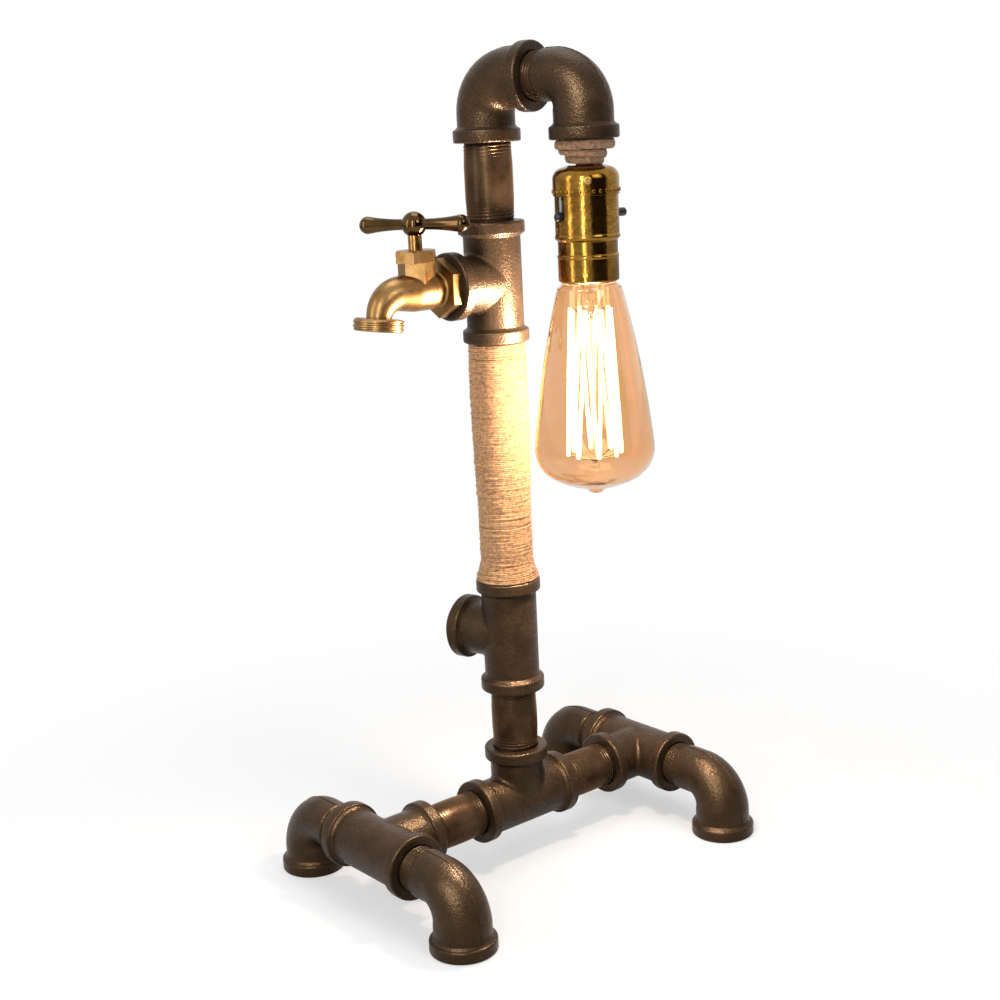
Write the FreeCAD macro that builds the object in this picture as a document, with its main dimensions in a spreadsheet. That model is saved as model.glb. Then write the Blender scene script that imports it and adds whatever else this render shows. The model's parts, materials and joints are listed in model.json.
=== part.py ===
# Industrial pipe table lamp: a parametric model of every piece, in millimetres.
#
# Z is up and the lamp stands on Z = 0. The column stands on the origin. The base runs along X,
# the faucet points to -X, the arm with the lampholder points to the front (-Y) and the open
# branch of the lower tee, where the cord goes in, points to the back (+Y).
import FreeCAD, Part
import math
import os
import Sketcher
from FreeCAD import Placement, Rotation, Vector

doc = FreeCAD.newDocument("pipe_lamp")

# ---------------------------------------------------------------------------------------------
# Driving dimensions
# ---------------------------------------------------------------------------------------------
DIMENSIONS = [
    # 3/4 inch malleable iron fittings
    ("centre_to_end", 33.3, "centre of a tee or elbow to the face of its bead"),
    ("bead_radius", 18.5, "reinforcing bead round each female end"),
    ("bead_width", 7.2, "length of the bead along its axis"),
    ("bead_round", 1.3, "rounding of the bead's outer edges"),
    ("bead_slope", 1.4, "cast slope from the bead down to the body"),
    ("fitting_radius", 15.9, "outside of a fitting's body"),
    ("branch_radius", 15.5, "outside of a tee's branch, a little slimmer than the run"),
    ("crotch_round", 2.4, "fillet where a tee's branch grows out of its run"),
    ("bend_radius", 18.0, "centre line of an elbow's bend"),
    ("thread_radius", 12.25, "3/4 inch pipe thread, taken at its core"),
    ("thread_depth", 15.5, "tapped length in each female end"),
    ("mouth_chamfer", 1.2, "countersink at each tapped mouth"),
    ("waterway_radius", 11.4, "cored passage behind the threads"),
    ("street_body_end", 29.6, "street elbow: corner to the end of the male leg's body"),
    ("street_male_end", 45.6, "street elbow: corner to the end of its male thread"),
    ("street_leg_radius", 13.7, "street elbow: outside of the male leg"),
    ("street_bore_radius", 9.6, "street elbow: passage"),
    # pipe and nipples
    ("pipe_radius", 13.35, "3/4 inch steel pipe, 26.7 outside"),
    ("pipe_bore_radius", 10.45, "3/4 inch steel pipe, inside"),
    ("pipe_engagement", 13.3, "thread made up inside a fitting"),
    ("end_chamfer", 0.8, "chamfer on each pipe end"),
    ("runout", 2.4, "taper from the thread's core up to the full pipe"),
    # bare stretches between fittings
    ("base_gap", 34.5, "base nipple between centre tee and cross tee"),
    ("lower_gap", 36.0, "nipple between centre tee and lower column tee"),
    ("column_gap", 137.2, "wrapped pipe between the two column tees"),
    ("upper_gap", 42.0, "nipple between upper column tee and top elbow"),
    ("base_open_thread", 5.0, "thread left showing on the base nipples"),
    ("lower_open_thread", 7.0, "thread left showing on the lower nipple"),
    ("column_open_thread", 4.0, "thread under each end of the twine"),
    ("upper_open_thread", 12.0, "thread left showing on the upper nipple"),
    ("foot_offset", 70.9, "centre line of the base to a foot's axis"),
    ("arm_offset", 64.0, "column axis to the lampholder's axis"),
    ("arm_yaw", 12.5, "arm turned from the front towards +X, degrees"),
    ("cord_branch_yaw", 16.0, "lower tee's branch turned from the back towards -X, degrees"),
    # twine
    ("wrap_clearance", 0.05, "air between pipe and twine"),
    ("wrap_foot_radius", 18.3, "twine flared out on the lower tee"),
    ("wrap_ankle_radius", 15.2, "twine above the flare"),
    ("wrap_waist_radius", 15.1, "slimmest part of the wrap"),
    ("wrap_shoulder_radius", 16.4, "twine near the upper tee"),
    ("wrap_foot_height", 2.0, "upright edge of the flare"),
    ("wrap_flare_height", 13.0, "height of the flare"),
    ("wrap_flare_round", 17.0, "hollow curve of the flare"),
    ("wrap_waist_height", 41.2, "height of the waist"),
    ("wrap_shoulder_height", 121.2, "height of the shoulder"),
    ("wrap_round", 1500.0, "slight bulge between waist and shoulder"),
    ("wrap_top_radius", 15.9, "twine against the upper tee"),
    # cord grommet
    ("grommet_flange_radius", 15.6, "rubber flange over the tee's mouth"),
    ("grommet_flange_width", 2.2, "thickness of the flange"),
    ("grommet_plug_radius", 12.2, "plug that is pressed into the thread"),
    ("grommet_round", 1.0, "rounded rim of flange and plug"),
    ("grommet_plug_length", 9.0, "depth of the plug"),
    ("cord_hole_radius", 3.6, "hole for a 7 mm round cord"),
    # faucet
    ("shank_end", 21.0, "inner end of the threaded shank, from the column axis"),
    ("shank_bore_radius", 7.4, "water inlet"),
    ("flange_start", 33.7, "wrench flange, side against the tee"),
    ("flange_end", 39.4, "wrench flange, outer side"),
    ("flange_across", 28.0, "wrench flange across flats"),
    ("flange_hub_radius", 13.15, "round collar inside the hexagon"),
    ("waist_root", 1.5, "hollow curve where the body leaves the flange"),
    ("barrel_front", 5.0, "barrel in front of the stem"),
    ("barrel_back", 4.0, "barrel behind the stem"),
    ("barrel_round", 14.0, "bulge of the body towards the barrel"),
    ("stem_offset", 52.8, "column axis to the valve stem"),
    ("waist_radius", 8.7, "body just behind the flange"),
    ("barrel_radius", 10.6, "body below the stem"),
    ("barrel_end", 66.0, "where the spout starts to bend"),
    ("barrel_end_radius", 9.2, "body where the spout starts"),
    ("spout_bend", 13.6, "centre line radius of the spout"),
    ("spout_angle", 82.0, "turn of the spout, degrees"),
    ("spout_neck_radius", 6.6, "body above the hose thread"),
    ("hose_radius", 12.9, "hose thread, taken at its crest"),
    ("hose_length", 6.6, "length of the hose thread"),
    ("hose_round", 0.9, "rounded edges of the hose thread"),
    ("outlet_start", 58.0, "where the outlet leaves the chamber"),
    ("inlet_end", 38.0, "end of the wide inlet"),
    ("inlet_radius", 4.0, "narrow inlet below the seat"),
    ("inlet_drop", 3.8, "axis of the narrow inlet below the body's axis"),
    ("outlet_radius", 4.8, "bore of the spout"),
    ("neck_radius", 9.8, "upright neck below the bonnet nut"),
    ("neck_top", 15.4, "top of the neck above the body's axis"),
    ("chamber_radius", 7.2, "valve chamber inside the neck"),
    ("chamber_floor", 2.2, "floor of the chamber above the body's axis"),
    ("seat_hole_radius", 3.6, "hole that the washer closes"),
    ("seat_lip", 0.7, "raised lip round that hole"),
    ("seat_lip_radius", 4.6, "outside of that lip"),
    ("bonnet_height", 6.4, "bonnet nut"),
    ("bonnet_across", 20.4, "bonnet nut across flats"),
    ("bonnet_slope", 1.3, "chamfer over the nut's corners"),
    ("bonnet_spigot", 2.4, "depth of the nut's spigot in the chamber"),
    ("spigot_radius", 7.2, "outside of that spigot"),
    ("stem_radius", 3.7, "valve stem"),
    ("running_gap", 0.08, "radial clearance of every turning or sliding fit"),
    ("stem_foot_width", 5.2, "radius of the stem's foot"),
    ("stem_foot_height", 1.0, "height of the stem's foot"),
    ("stem_shoulder", 4.8, "shoulder of the stem below the middle of the ball"),
    ("stem_spigot_radius", 2.6, "end of the stem inside the handle's ball"),
    ("stem_spigot_length", 8.6, "and its length"),
    ("packing_radius", 5.8, "packing ring, outside"),
    ("packing_height", 3.2, "packing ring"),
    ("packing_base", 15.6, "underside of the packing above the body's axis"),
    ("washer_radius", 5.0, "seat washer"),
    ("washer_height", 2.0, "seat washer"),
    ("holder_radius", 5.6, "swivel cup that holds the washer"),
    ("holder_height", 1.2, "web of the cup above the washer"),
    ("holder_skirt", 1.0, "skirt of the cup round the washer"),
    ("holder_pin_radius", 1.6, "pin of the cup inside the stem"),
    ("holder_pin_length", 3.0, "and its length"),
    ("thrust_gap", 0.1, "play between cup and stem"),
    ("hub_height", 35.3, "centre of the handle above the body's axis"),
    ("hub_radius", 6.8, "ball in the middle of the handle"),
    ("handle_reach", 31.8, "centre of the handle to the tip of an arm"),
    ("arm_root_radius", 2.9, "handle arm beside the ball"),
    ("arm_tip_radius", 4.7, "rounded end of a handle arm"),
    ("arm_swell", 120.0, "hollow curve from the ball to the tip"),
    ("handle_yaw", -62.0, "direction of the handle at rest, degrees"),
    ("set_screw_radius", 1.2, "grub screw in the ball"),
    ("set_screw_end", 6.4, "outer end of that screw from the stem's axis"),
    ("set_screw_key", 0.6, "its key hole"),
    ("set_screw_key_depth", 1.2, "depth of the key hole"),
    # arm end: bushing, lamp nipple and twine collar, heights below the elbow's face
    ("bushing_across", 25.0, "reducing bushing's hexagon across flats"),
    ("bushing_head", 5.4, "height of the hexagon"),
    ("bushing_depth", 11.5, "threaded part inside the elbow"),
    ("bushing_cup_radius", 8.2, "hollow of the threaded part"),
    ("bushing_cup_floor", 2.6, "floor of that hollow above the elbow's face"),
    ("lamp_nipple_top", 13.0, "upper end of the lamp pipe above the elbow's face"),
    ("lamp_nipple_radius", 4.95, "1/8 inch lamp pipe"),
    ("lamp_nipple_bore", 3.3, "wire way"),
    ("locknut_across", 14.0, "locknut across flats"),
    ("locknut_height", 4.0, "locknut"),
    ("locknut_base", 10.5, "underside of the locknut"),
    ("collar_radius", 15.9, "twine round the bushing's hexagon"),
    ("collar_step_radius", 13.2, "twine below the hexagon"),
    ("collar_toe_radius", 8.7, "twine on the socket cap"),
    ("collar_waist_radius", 10.5, "twine between step and cap"),
    ("collar_gap", 0.05, "air between twine and metal"),
    ("collar_top", 0.2, "upper edge of the twine"),
    ("collar_step", 5.6, "step from the hexagon to the taper"),
    ("collar_waist", 10.0, "height of the waist"),
    ("collar_bottom", 13.1, "lower edge of the twine"),
    # lampholder, heights below the elbow's face
    ("cap_top", 13.2, "top of the socket cap"),
    ("cap_neck_radius", 9.4, "flat top of the cap"),
    ("cap_brow_radius", 13.0, "outer edge of the cap's cone"),
    ("cap_brow", 14.2, "and its height"),
    ("cap_round", 6.4, "round cheek of the cap"),
    ("cap_cheek", 20.0, "lower end of the cheek"),
    ("cap_radius", 17.6, "skirt of the cap"),
    ("cap_skirt_end", 28.5, "lower edge of the skirt"),
    ("cap_boss_radius", 7.6, "tapped boss inside the cap"),
    ("cap_boss_end", 23.0, "lower end of that boss"),
    ("sheet_wall", 0.6, "thickness of the brass sheet"),
    ("shell_radius", 16.9, "upper part of the shell"),
    ("shell_lower_radius", 15.8, "lower part of the shell"),
    ("shell_last_radius", 16.1, "shell below the second bead"),
    ("shell_bead_half", 1.3, "half height of the first bead"),
    ("shell_bead_round", 2.3, "section of the first bead"),
    ("shell_ring_half", 1.1, "half height of the second bead"),
    ("shell_ring_round", 1.6, "section of the second bead"),
    ("shell_edge_round", 1.2, "edge turned in at the bottom"),
    ("shell_opening", 14.7, "opening at the bottom"),
    ("shell_top", 23.5, "upper edge of the shell, under the cap's skirt"),
    ("shell_bead_height", 49.8, "middle of the rolled bead"),
    ("shell_ring_height", 60.0, "middle of the second bead"),
    ("shell_bottom", 73.6, "lower edge of the shell"),
    ("slot_width", 6.2, "window for the switch bar"),
    ("slot_end", 41.8, "lower end of the window"),
    ("liner_radius", 15.15, "insulating liner, outside"),
    ("liner_wall", 1.1, "insulating liner"),
    ("liner_top", 24.5, "upper edge of the liner"),
    ("liner_bottom", 72.2, "lower edge of the liner"),
    ("switch_radius", 14.0, "switch body"),
    ("switch_top", 30.6, "upper side of the switch body"),
    ("switch_bottom", 48.4, "lower side of the switch body"),
    ("bar_height", 39.0, "axis of the switch bar"),
    ("bar_radius", 2.3, "switch bar and its knobs"),
    ("bar_half_length", 22.4, "switch bar, half its length"),
    ("bar_end_round", 1.2, "rounded ends of the bar"),
    ("bar_shift", 2.5, "bar pushed in from the left at rest"),
    ("bar_collar_radius", 3.6, "collar that stops the bar at both ends"),
    ("bar_collar_width", 3.0, "collar along the bar"),
    ("bar_yaw", -8.0, "direction of the bar, degrees"),
    ("bay_length", 8.2, "switch bay along the bar"),
    ("bay_width", 8.6, "switch bay across the bar"),
    ("bay_depth", 13.0, "switch bay below the body's top"),
    ("screw_shell_radius", 13.85, "lamp thread shell, outside"),
    ("screw_shell_wall", 0.5, "lamp thread shell"),
    ("screw_shell_end", 68.0, "lower edge of the lamp thread shell"),
    ("screw_shell_round", 1.2, "rounded upper edge"),
    ("screw_shell_hole", 8.0, "hole in its upper face"),
    ("contact_bottom", 49.7, "underside of the centre contact"),
    ("contact_post_top", 43.3, "upper end of its rivet"),
    ("terminal_flat", 12.2, "flat on the switch body below each terminal"),
    ("terminal_flat_depth", 11.4, "height of that flat"),
    ("terminal_height", 36.0, "axis of the terminal screws"),
    ("terminal_shank_length", 7.0, "shank inside the body"),
    ("terminal_head_radius", 3.0, "terminal screw head"),
    ("terminal_shank_radius", 1.6, "terminal screw shank"),
    ("terminal_head_height", 1.4, "terminal screw head"),
    ("cap_screw_height", 20.6, "axis of the cap's set screw"),
    ("cap_screw_radius", 1.4, "its shank"),
    ("cap_screw_head", 2.2, "radius of its head"),
    ("cap_screw_head_height", 1.4, "height of its head"),
    ("cap_screw_crown", 0.8, "rounded edge of its head"),
    ("screw_slot", 0.6, "screwdriver slot"),
    ("screw_slot_depth", 0.7, "depth of that slot"),
    ("cap_screw_yaw", -130.0, "direction of that screw, degrees"),
    ("contact_ring_wall", 0.6, "contact bridge, ring round the bar's collar"),
    ("contact_width", 2.4, "contact bridge along the bar"),
    ("contact_plate_radius", 3.2, "centre contact below the switch body"),
    ("contact_post_radius", 1.8, "its rivet in the switch body"),
    # bulb, heights below the elbow's face
    ("bulb_contact_top", 49.8, "end contact of the bulb"),
    ("bulb_contact_end", 51.5, "lower side of the end contact"),
    ("bulb_contact_radius", 4.7, "end contact, lower side"),
    ("bulb_contact_top_radius", 3.6, "end contact, upper side"),
    ("insulator_radius", 11.9, "rim of the cap's insulator"),
    ("insulator_rim", 1.2, "height of that rim"),
    ("bulb_cap_top", 54.0, "upper end of the screw cap"),
    ("bulb_cap_end", 71.0, "lower edge of the screw cap"),
    ("bulb_cap_radius", 13.0, "screw cap, outside"),
    ("bulb_cap_wall", 0.5, "screw cap"),
    ("glass_neck_radius", 12.45, "glass inside the cap"),
    ("glass_neck_top", 62.0, "upper end of the glass inside the cap"),
    ("glass_throat_radius", 14.1, "glass at the lower edge of the lampholder"),
    ("glass_throat_height", 74.0, "and its height"),
    ("glass_cone_radius", 17.2, "glass where the long flank starts"),
    ("glass_cone_height", 77.0, "and its height"),
    ("glass_flank_round", 570.0, "slight bulge of the long flank"),
    ("glass_shoulder_round", 18.0, "round shoulder"),
    ("glass_shoulder_centre", 14.4, "centre of the shoulder from the axis"),
    ("glass_shoulder_height", 163.8, "widest part"),
    ("glass_bottom", 185.8, "underside of the dome"),
    ("glass_wall", 0.8, "thickness of the glass"),
    ("pip_radius", 3.6, "sealed tip"),
    ("pip_height", 2.2, "sealed tip below the dome"),
    ("stem_foot_radius", 11.6, "flared foot of the glass stem"),
    ("stem_foot_height_z", 62.4, "upper edge of the flared foot"),
    ("stem_flare_end", 74.0, "lower end of the flare"),
    ("stem_flare_round", 12.0, "hollow curve of the flare"),
    ("stem_tube_radius", 3.6, "tube of the glass stem"),
    ("stem_press_height", 88.0, "pinched end of the stem tube"),
    ("stem_rod_radius", 1.1, "glass rod that carries the hooks"),
    ("cage_top", 88.0, "upper hooks of the filament"),
    ("cage_bottom", 167.5, "lower hooks of the filament"),
    ("cage_top_radius", 11.0, "circle of the upper hooks"),
    ("cage_bottom_radius", 14.6, "circle of the lower hooks"),
    ("button_height", 174.5, "glass button at the rod's end"),
    ("button_radius", 2.4, "glass button"),
    ("button_rise", 2.133, "where the rod enters the button above its centre"),
    ("upper_sleeve", 93.0, "middle of the sleeve that holds the upper hooks"),
    ("lower_sleeve", 170.6, "middle of the sleeve that holds the lower hooks"),
    ("hook_sleeve_radius", 1.9, "sleeve on the rod"),
    ("hook_sleeve_length", 1.2, "length of a sleeve"),
    ("hook_clear", 0.9, "end of an upper hook before the knot that it holds"),
    ("wire_spread", 0.38, "half the distance between two wires in a knot"),
    ("knot_radius", 0.8, "knot of the filament at an upper hook"),
    ("cage_bend", 0.9, "bend of the filament round a lower hook"),
    ("cage_yaw", 10.0, "first loop of the filament, degrees"),
    ("filament_width", 0.6, "coiled filament, taken as one square wire"),
    ("hook_width", 0.45, "support wire, square"),
]
FILAMENT_LOOPS = 8

sheet = doc.addObject("Spreadsheet::Sheet", "sizes")
for row, (alias, value, note) in enumerate(DIMENSIONS, start=1):
    sheet.set(f"A{row}", alias)
    sheet.set(f"B{row}", str(value))
    sheet.set(f"C{row}", note)
    sheet.setAlias(f"B{row}", alias)
doc.recompute()


class Size:
    """A length that knows its number and the formula that gives it from the sheet."""

    def __init__(self, formula, number):
        self.formula = formula
        self.number = number

    def __add__(self, other):
        other = as_size(other)
        return Size(f"({self.formula} + {other.formula})", self.number + other.number)

    def __sub__(self, other):
        other = as_size(other)
        return Size(f"({self.formula} - {other.formula})", self.number - other.number)

    def __rsub__(self, other):
        return as_size(other) - self

    def __mul__(self, factor):
        factor = as_size(factor)
        return Size(f"({self.formula} * {factor.formula})", self.number * factor.number)

    def __truediv__(self, divisor):
        divisor = as_size(divisor)
        return Size(f"({self.formula} / {divisor.formula})", self.number / divisor.number)

    def __neg__(self):
        return Size(f"(0 - {self.formula})", -self.number)

    __radd__ = __add__
    __rmul__ = __mul__


def as_size(value):
    return value if isinstance(value, Size) else Size(f"{value:g}" if value >= 0 else f"(0 - {-value:g})", value)


def size(alias):
    return Size(f"sizes.{alias}", getattr(sheet, alias))


def sine(degrees):
    return Size(f"sin({degrees.formula} * 1 deg)", math.sin(math.radians(degrees.number)))


def cosine(degrees):
    return Size(f"cos({degrees.formula} * 1 deg)", math.cos(math.radians(degrees.number)))


def bind(thing, prop, value):
    thing.setExpression(prop, as_size(value).formula)


# ---------------------------------------------------------------------------------------------
# Bodies, outlines and features
# ---------------------------------------------------------------------------------------------
pieces = []
HEX_CORNER = 1 / math.cos(math.radians(30))


def new_body(label):
    body = doc.addObject("PartDesign::Body", label)
    body.Label = label
    pieces.append(body)
    return body


def place(piece, x=0, y=0, z=0, turn=None):
    """Turn the piece, then bind its position to the sheet."""
    piece.Placement = Placement(Vector(as_size(x).number, as_size(y).number, as_size(z).number), turn or Rotation())
    for axis, value in zip("xyz", (x, y, z)):
        bind(piece, f"Placement.Base.{axis}", value)


def about(axis, degrees):
    return Rotation(Vector(*axis), degrees)


def turn_about_z(piece, degrees):
    """Bind a turn about the upright axis to the sheet."""
    piece.Placement = Placement(piece.Placement.Base, about((0, 0, 1), degrees.number))
    bind(piece, "Placement.Rotation.Angle", degrees)


def new_sketch(body, plane, lift=None):
    """A sketch on one of the body's own planes, lifted along that plane's normal."""
    sketch = body.newObject("Sketcher::SketchObject", f"{body.Name}_sketch")
    support = next(item for item in body.Origin.OriginFeatures if item.Role == plane)
    sketch.AttachmentSupport = [(support, "")]
    sketch.MapMode = "FlatFace"
    if lift is not None:
        lift = as_size(lift)
        sketch.AttachmentOffset = Placement(Vector(0, 0, lift.number), Rotation())
        bind(sketch, "AttachmentOffset.Base.z", lift)
    return sketch


def fix_point(sketch, curve, end, x, y):
    """Hold one end of a curve at a place that is worked out from the sheet."""
    for kind, axis_curve, value in (("DistanceX", -2, x), ("DistanceY", -1, y)):
        value = as_size(value)
        if abs(value.number) < 1e-9:
            sketch.addConstraint(Sketcher.Constraint("PointOnObject", curve, end, axis_curve))
        else:
            index = sketch.addConstraint(Sketcher.Constraint(kind, -1, 1, curve, end, value.number))
            bind(sketch, f"Constraints[{index}]", value)


def arc_between(start, end, radius, side):
    """Arc from start to end, and whether the sketcher runs it backwards. Side +1 bulges to the left."""
    chord = end - start
    middle = (start + end) * 0.5
    left = Vector(-chord.y, chord.x, 0).normalize()
    height = math.sqrt(max(radius ** 2 - (chord.Length / 2) ** 2, 0))
    centre = middle - left * (side * height)
    backwards = side > 0
    first, last = (end, start) if backwards else (start, end)
    angles = [math.atan2(p.y - centre.y, p.x - centre.x) for p in (first, last)]
    return Part.ArcOfCircle(Part.Circle(centre, Vector(0, 0, 1), radius), angles[0], angles[1]), backwards


def outline(body, plane, corners, lift=None):
    """Closed outline. A corner is (x, y), or (x, y, radius, side) when an arc leads to it."""
    sketch = new_sketch(body, plane, lift)
    points = [Vector(as_size(c[0]).number, as_size(c[1]).number, 0) for c in corners]
    ends = []
    for index, corner in enumerate(corners):
        start = points[index - 1]
        end = points[index]
        if len(corner) == 2:
            curve = sketch.addGeometry(Part.LineSegment(start, end), False)
            ends.append((curve, 1, 2))
        else:
            radius = as_size(corner[2])
            arc, backwards = arc_between(start, end, radius.number, corner[3])
            curve = sketch.addGeometry(arc, False)
            ends.append((curve, 2, 1) if backwards else (curve, 1, 2))
            held = sketch.addConstraint(Sketcher.Constraint("Radius", curve, radius.number))
            bind(sketch, f"Constraints[{held}]", radius)
    for index, corner in enumerate(corners):
        curve, _, last = ends[index]
        following, first, _ = ends[(index + 1) % len(ends)]
        sketch.addConstraint(Sketcher.Constraint("Coincident", curve, last, following, first))
        fix_point(sketch, curve, last, corner[0], corner[1])
    return sketch


def circle_sketch(body, plane, radius, lift=None, x=0, y=0):
    sketch = new_sketch(body, plane, lift)
    radius = as_size(radius)
    centre = Vector(as_size(x).number, as_size(y).number, 0)
    curve = sketch.addGeometry(Part.Circle(centre, Vector(0, 0, 1), radius.number), False)
    held = sketch.addConstraint(Sketcher.Constraint("Radius", curve, radius.number))
    bind(sketch, f"Constraints[{held}]", radius)
    fix_point(sketch, curve, 3, x, y)
    return sketch


def hexagon_sketch(body, plane, across, lift=None, corner_up=False):
    """Regular hexagon with the given width across flats, centred on the sketch's origin."""
    half = as_size(across) / 2
    corner = half * HEX_CORNER
    flat = [(half, corner / 2), (0, corner), (-half, corner / 2), (-half, -corner / 2), (0, -corner), (half, -corner / 2)]
    return outline(body, plane, flat if corner_up else [(y, x) for x, y in flat], lift)


def add_circle(sketch, radius, x):
    """A second circle in a sketch, so that its outline becomes a ring."""
    curve = sketch.addGeometry(Part.Circle(Vector(x.number, 0, 0), Vector(0, 0, 1), radius.number), False)
    held = sketch.addConstraint(Sketcher.Constraint("Radius", curve, radius.number))
    bind(sketch, f"Constraints[{held}]", radius)
    fix_point(sketch, curve, 3, x, 0)


def box_sketch(body, plane, width, height, lift=None, x=0, y=0):
    half_x = as_size(width) / 2
    half_y = as_size(height) / 2
    corners = [(x - half_x, y - half_y), (x + half_x, y - half_y), (x + half_x, y + half_y), (x - half_x, y + half_y)]
    return outline(body, plane, corners, lift)


def turned(body, sketch, axis="V_Axis", remove=False):
    """Full turn of an outline about one of its own axes, added or cut away."""
    kind = "PartDesign::Groove" if remove else "PartDesign::Revolution"
    feature = body.newObject(kind, f"{body.Name}_turn")
    feature.Profile = sketch
    feature.ReferenceAxis = (sketch, [axis])
    feature.Angle = 360
    sketch.Visibility = False
    return feature


def extruded(body, sketch, length, remove=False, reverse=False, middle=False):
    """Pad, or a pocket whose volume is checked so that it never misses the solid."""
    doc.recompute()
    before = body.Shape.Volume if body.Tip else 0
    kind = "PartDesign::Pocket" if remove else "PartDesign::Pad"
    feature = body.newObject(kind, f"{body.Name}_{'pocket' if remove else 'pad'}")
    feature.Profile = sketch
    feature.Reversed = reverse
    feature.SideType = "Symmetric" if middle else "One side"
    bind(feature, "Length", length)
    sketch.Visibility = False
    doc.recompute()
    if remove and not body.Shape.Volume < before - 1e-3:
        raise RuntimeError(f"{body.Label}: a pocket cuts nothing")
    return feature


def piped(body, profile, path, sections=(), remove=False):
    kind = "PartDesign::SubtractivePipe" if remove else "PartDesign::AdditivePipe"
    feature = body.newObject(kind, f"{body.Name}_pipe")
    feature.Profile = profile
    feature.Spine = (path, [f"Edge{number + 1}" for number in range(len(path.Geometry))])
    if sections:
        feature.Sections = [(section, "") for section in sections]
        feature.Transformation = "Multisection"
    return feature


def is_circle(edge, radius):
    return edge.Curve.TypeId == "Part::GeomCircle" and abs(edge.Curve.Radius - radius) < 1e-6


def filleted(body, base, radius, chosen):
    """Round the edges of the body for which chosen(edge) is true."""
    doc.recompute()
    names = [f"Edge{number}" for number, edge in enumerate(base.Shape.Edges, start=1) if chosen(edge)]
    if not names:
        raise RuntimeError(f"{body.Label}: no edge to round")
    feature = body.newObject("PartDesign::Fillet", f"{body.Name}_round")
    feature.Base = (base, names)
    bind(feature, "Radius", radius)
    doc.recompute()
    return feature


def ring(body, plane, radius, bore, start, end):
    """Plain tube along the upright axis of the plane's outline."""
    return turned(body, outline(body, plane, [(bore, start), (radius, start), (radius, end), (bore, end)]))


# ---------------------------------------------------------------------------------------------
# Stations along the column
# ---------------------------------------------------------------------------------------------
reach = size("centre_to_end")
base_axis = reach
cross_tee_x = reach * 2 + size("base_gap")
lower_tee_z = reach * 3 + size("lower_gap")
wrap_bottom = reach * 4 + size("lower_gap")
wrap_top = wrap_bottom + size("column_gap")
upper_tee_z = wrap_top + reach
upper_face_z = wrap_top + reach * 2
arm_face_z = upper_face_z + size("upper_gap")
arm_axis_z = arm_face_z + reach
lamp_x = size("arm_offset") * sine(size("arm_yaw"))
lamp_y = -(size("arm_offset") * cosine(size("arm_yaw")))


# ---------------------------------------------------------------------------------------------
# Malleable iron fittings
# ---------------------------------------------------------------------------------------------
def bead_outline(near, far, body_radius):
    """Corners from the axis out over a bead whose face is at far and whose back looks to near."""
    radius = size("bead_radius")
    corner = size("bead_round")
    way = 1 if far.number > as_size(near).number else -1
    width = size("bead_width")
    back = far - width * way
    return [(0, far), (radius - corner, far), (radius, far - corner * way, corner, way),
            (radius, back + corner * way), (radius - corner, back, corner, way),
            (body_radius, back - size("bead_slope") * way), (body_radius, near)]


def swap(corners):
    """The same outline drawn along the other axis; arcs then bulge to the other side."""
    return [(c[1], c[0]) if len(c) == 2 else (c[1], c[0], c[2], -c[3]) for c in corners]


def tapped_outline(near, far, passage):
    """Corners of the tapped mouth at far and of the passage behind it, down to near."""
    way = 1 if far.number > as_size(near).number else -1
    thread = size("thread_radius")
    mouth = size("mouth_chamfer")
    depth = size("thread_depth")
    step = thread - passage
    return [(0, far), (thread + mouth, far), (thread, far - mouth * way), (thread, far - depth * way),
            (passage, far - (depth + step) * way), (passage, near)]


def tee(label):
    """Run along local Z, branch along local +X."""
    body = new_body(label)
    run = bead_outline(0, reach, size("fitting_radius"))
    lower = bead_outline(0, -reach, size("fitting_radius"))
    whole_run = run[:-1] + [corner for corner in mirrored(lower)]
    turned(body, outline(body, "XZ_Plane", whole_run))
    branch = swap(bead_outline(0, reach, size("branch_radius")))
    grown = turned(body, outline(body, "XZ_Plane", branch + [(0, 0)]), "H_Axis")
    filleted(body, grown, size("crotch_round"), is_crotch)
    bore = tapped_outline(0, reach, size("waterway_radius"))
    other = tapped_outline(0, -reach, size("waterway_radius"))
    turned(body, outline(body, "XZ_Plane", bore[:-1] + list(reversed(other[:-1]))), remove=True)
    side = swap(bore) + [(0, 0)]
    turned(body, outline(body, "XZ_Plane", side), "H_Axis", remove=True)
    return body


def mirrored(corners):
    """Corners of an outline in the other order, with each arc given to its other end."""
    flipped = []
    pending = None
    for corner in reversed(corners[:-1]):
        flipped.append((corner[0], corner[1]) if pending is None else (corner[0], corner[1]) + pending)
        pending = (corner[2], -corner[3]) if len(corner) == 4 else None
    return flipped


def is_crotch(edge):
    """Edges where the branch meets the run: neither straight nor a flat circle."""
    box = edge.BoundBox
    return len(edge.Vertexes) <= 2 and box.XLength > 1 and box.YLength > 1 and box.ZLength > 1


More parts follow.
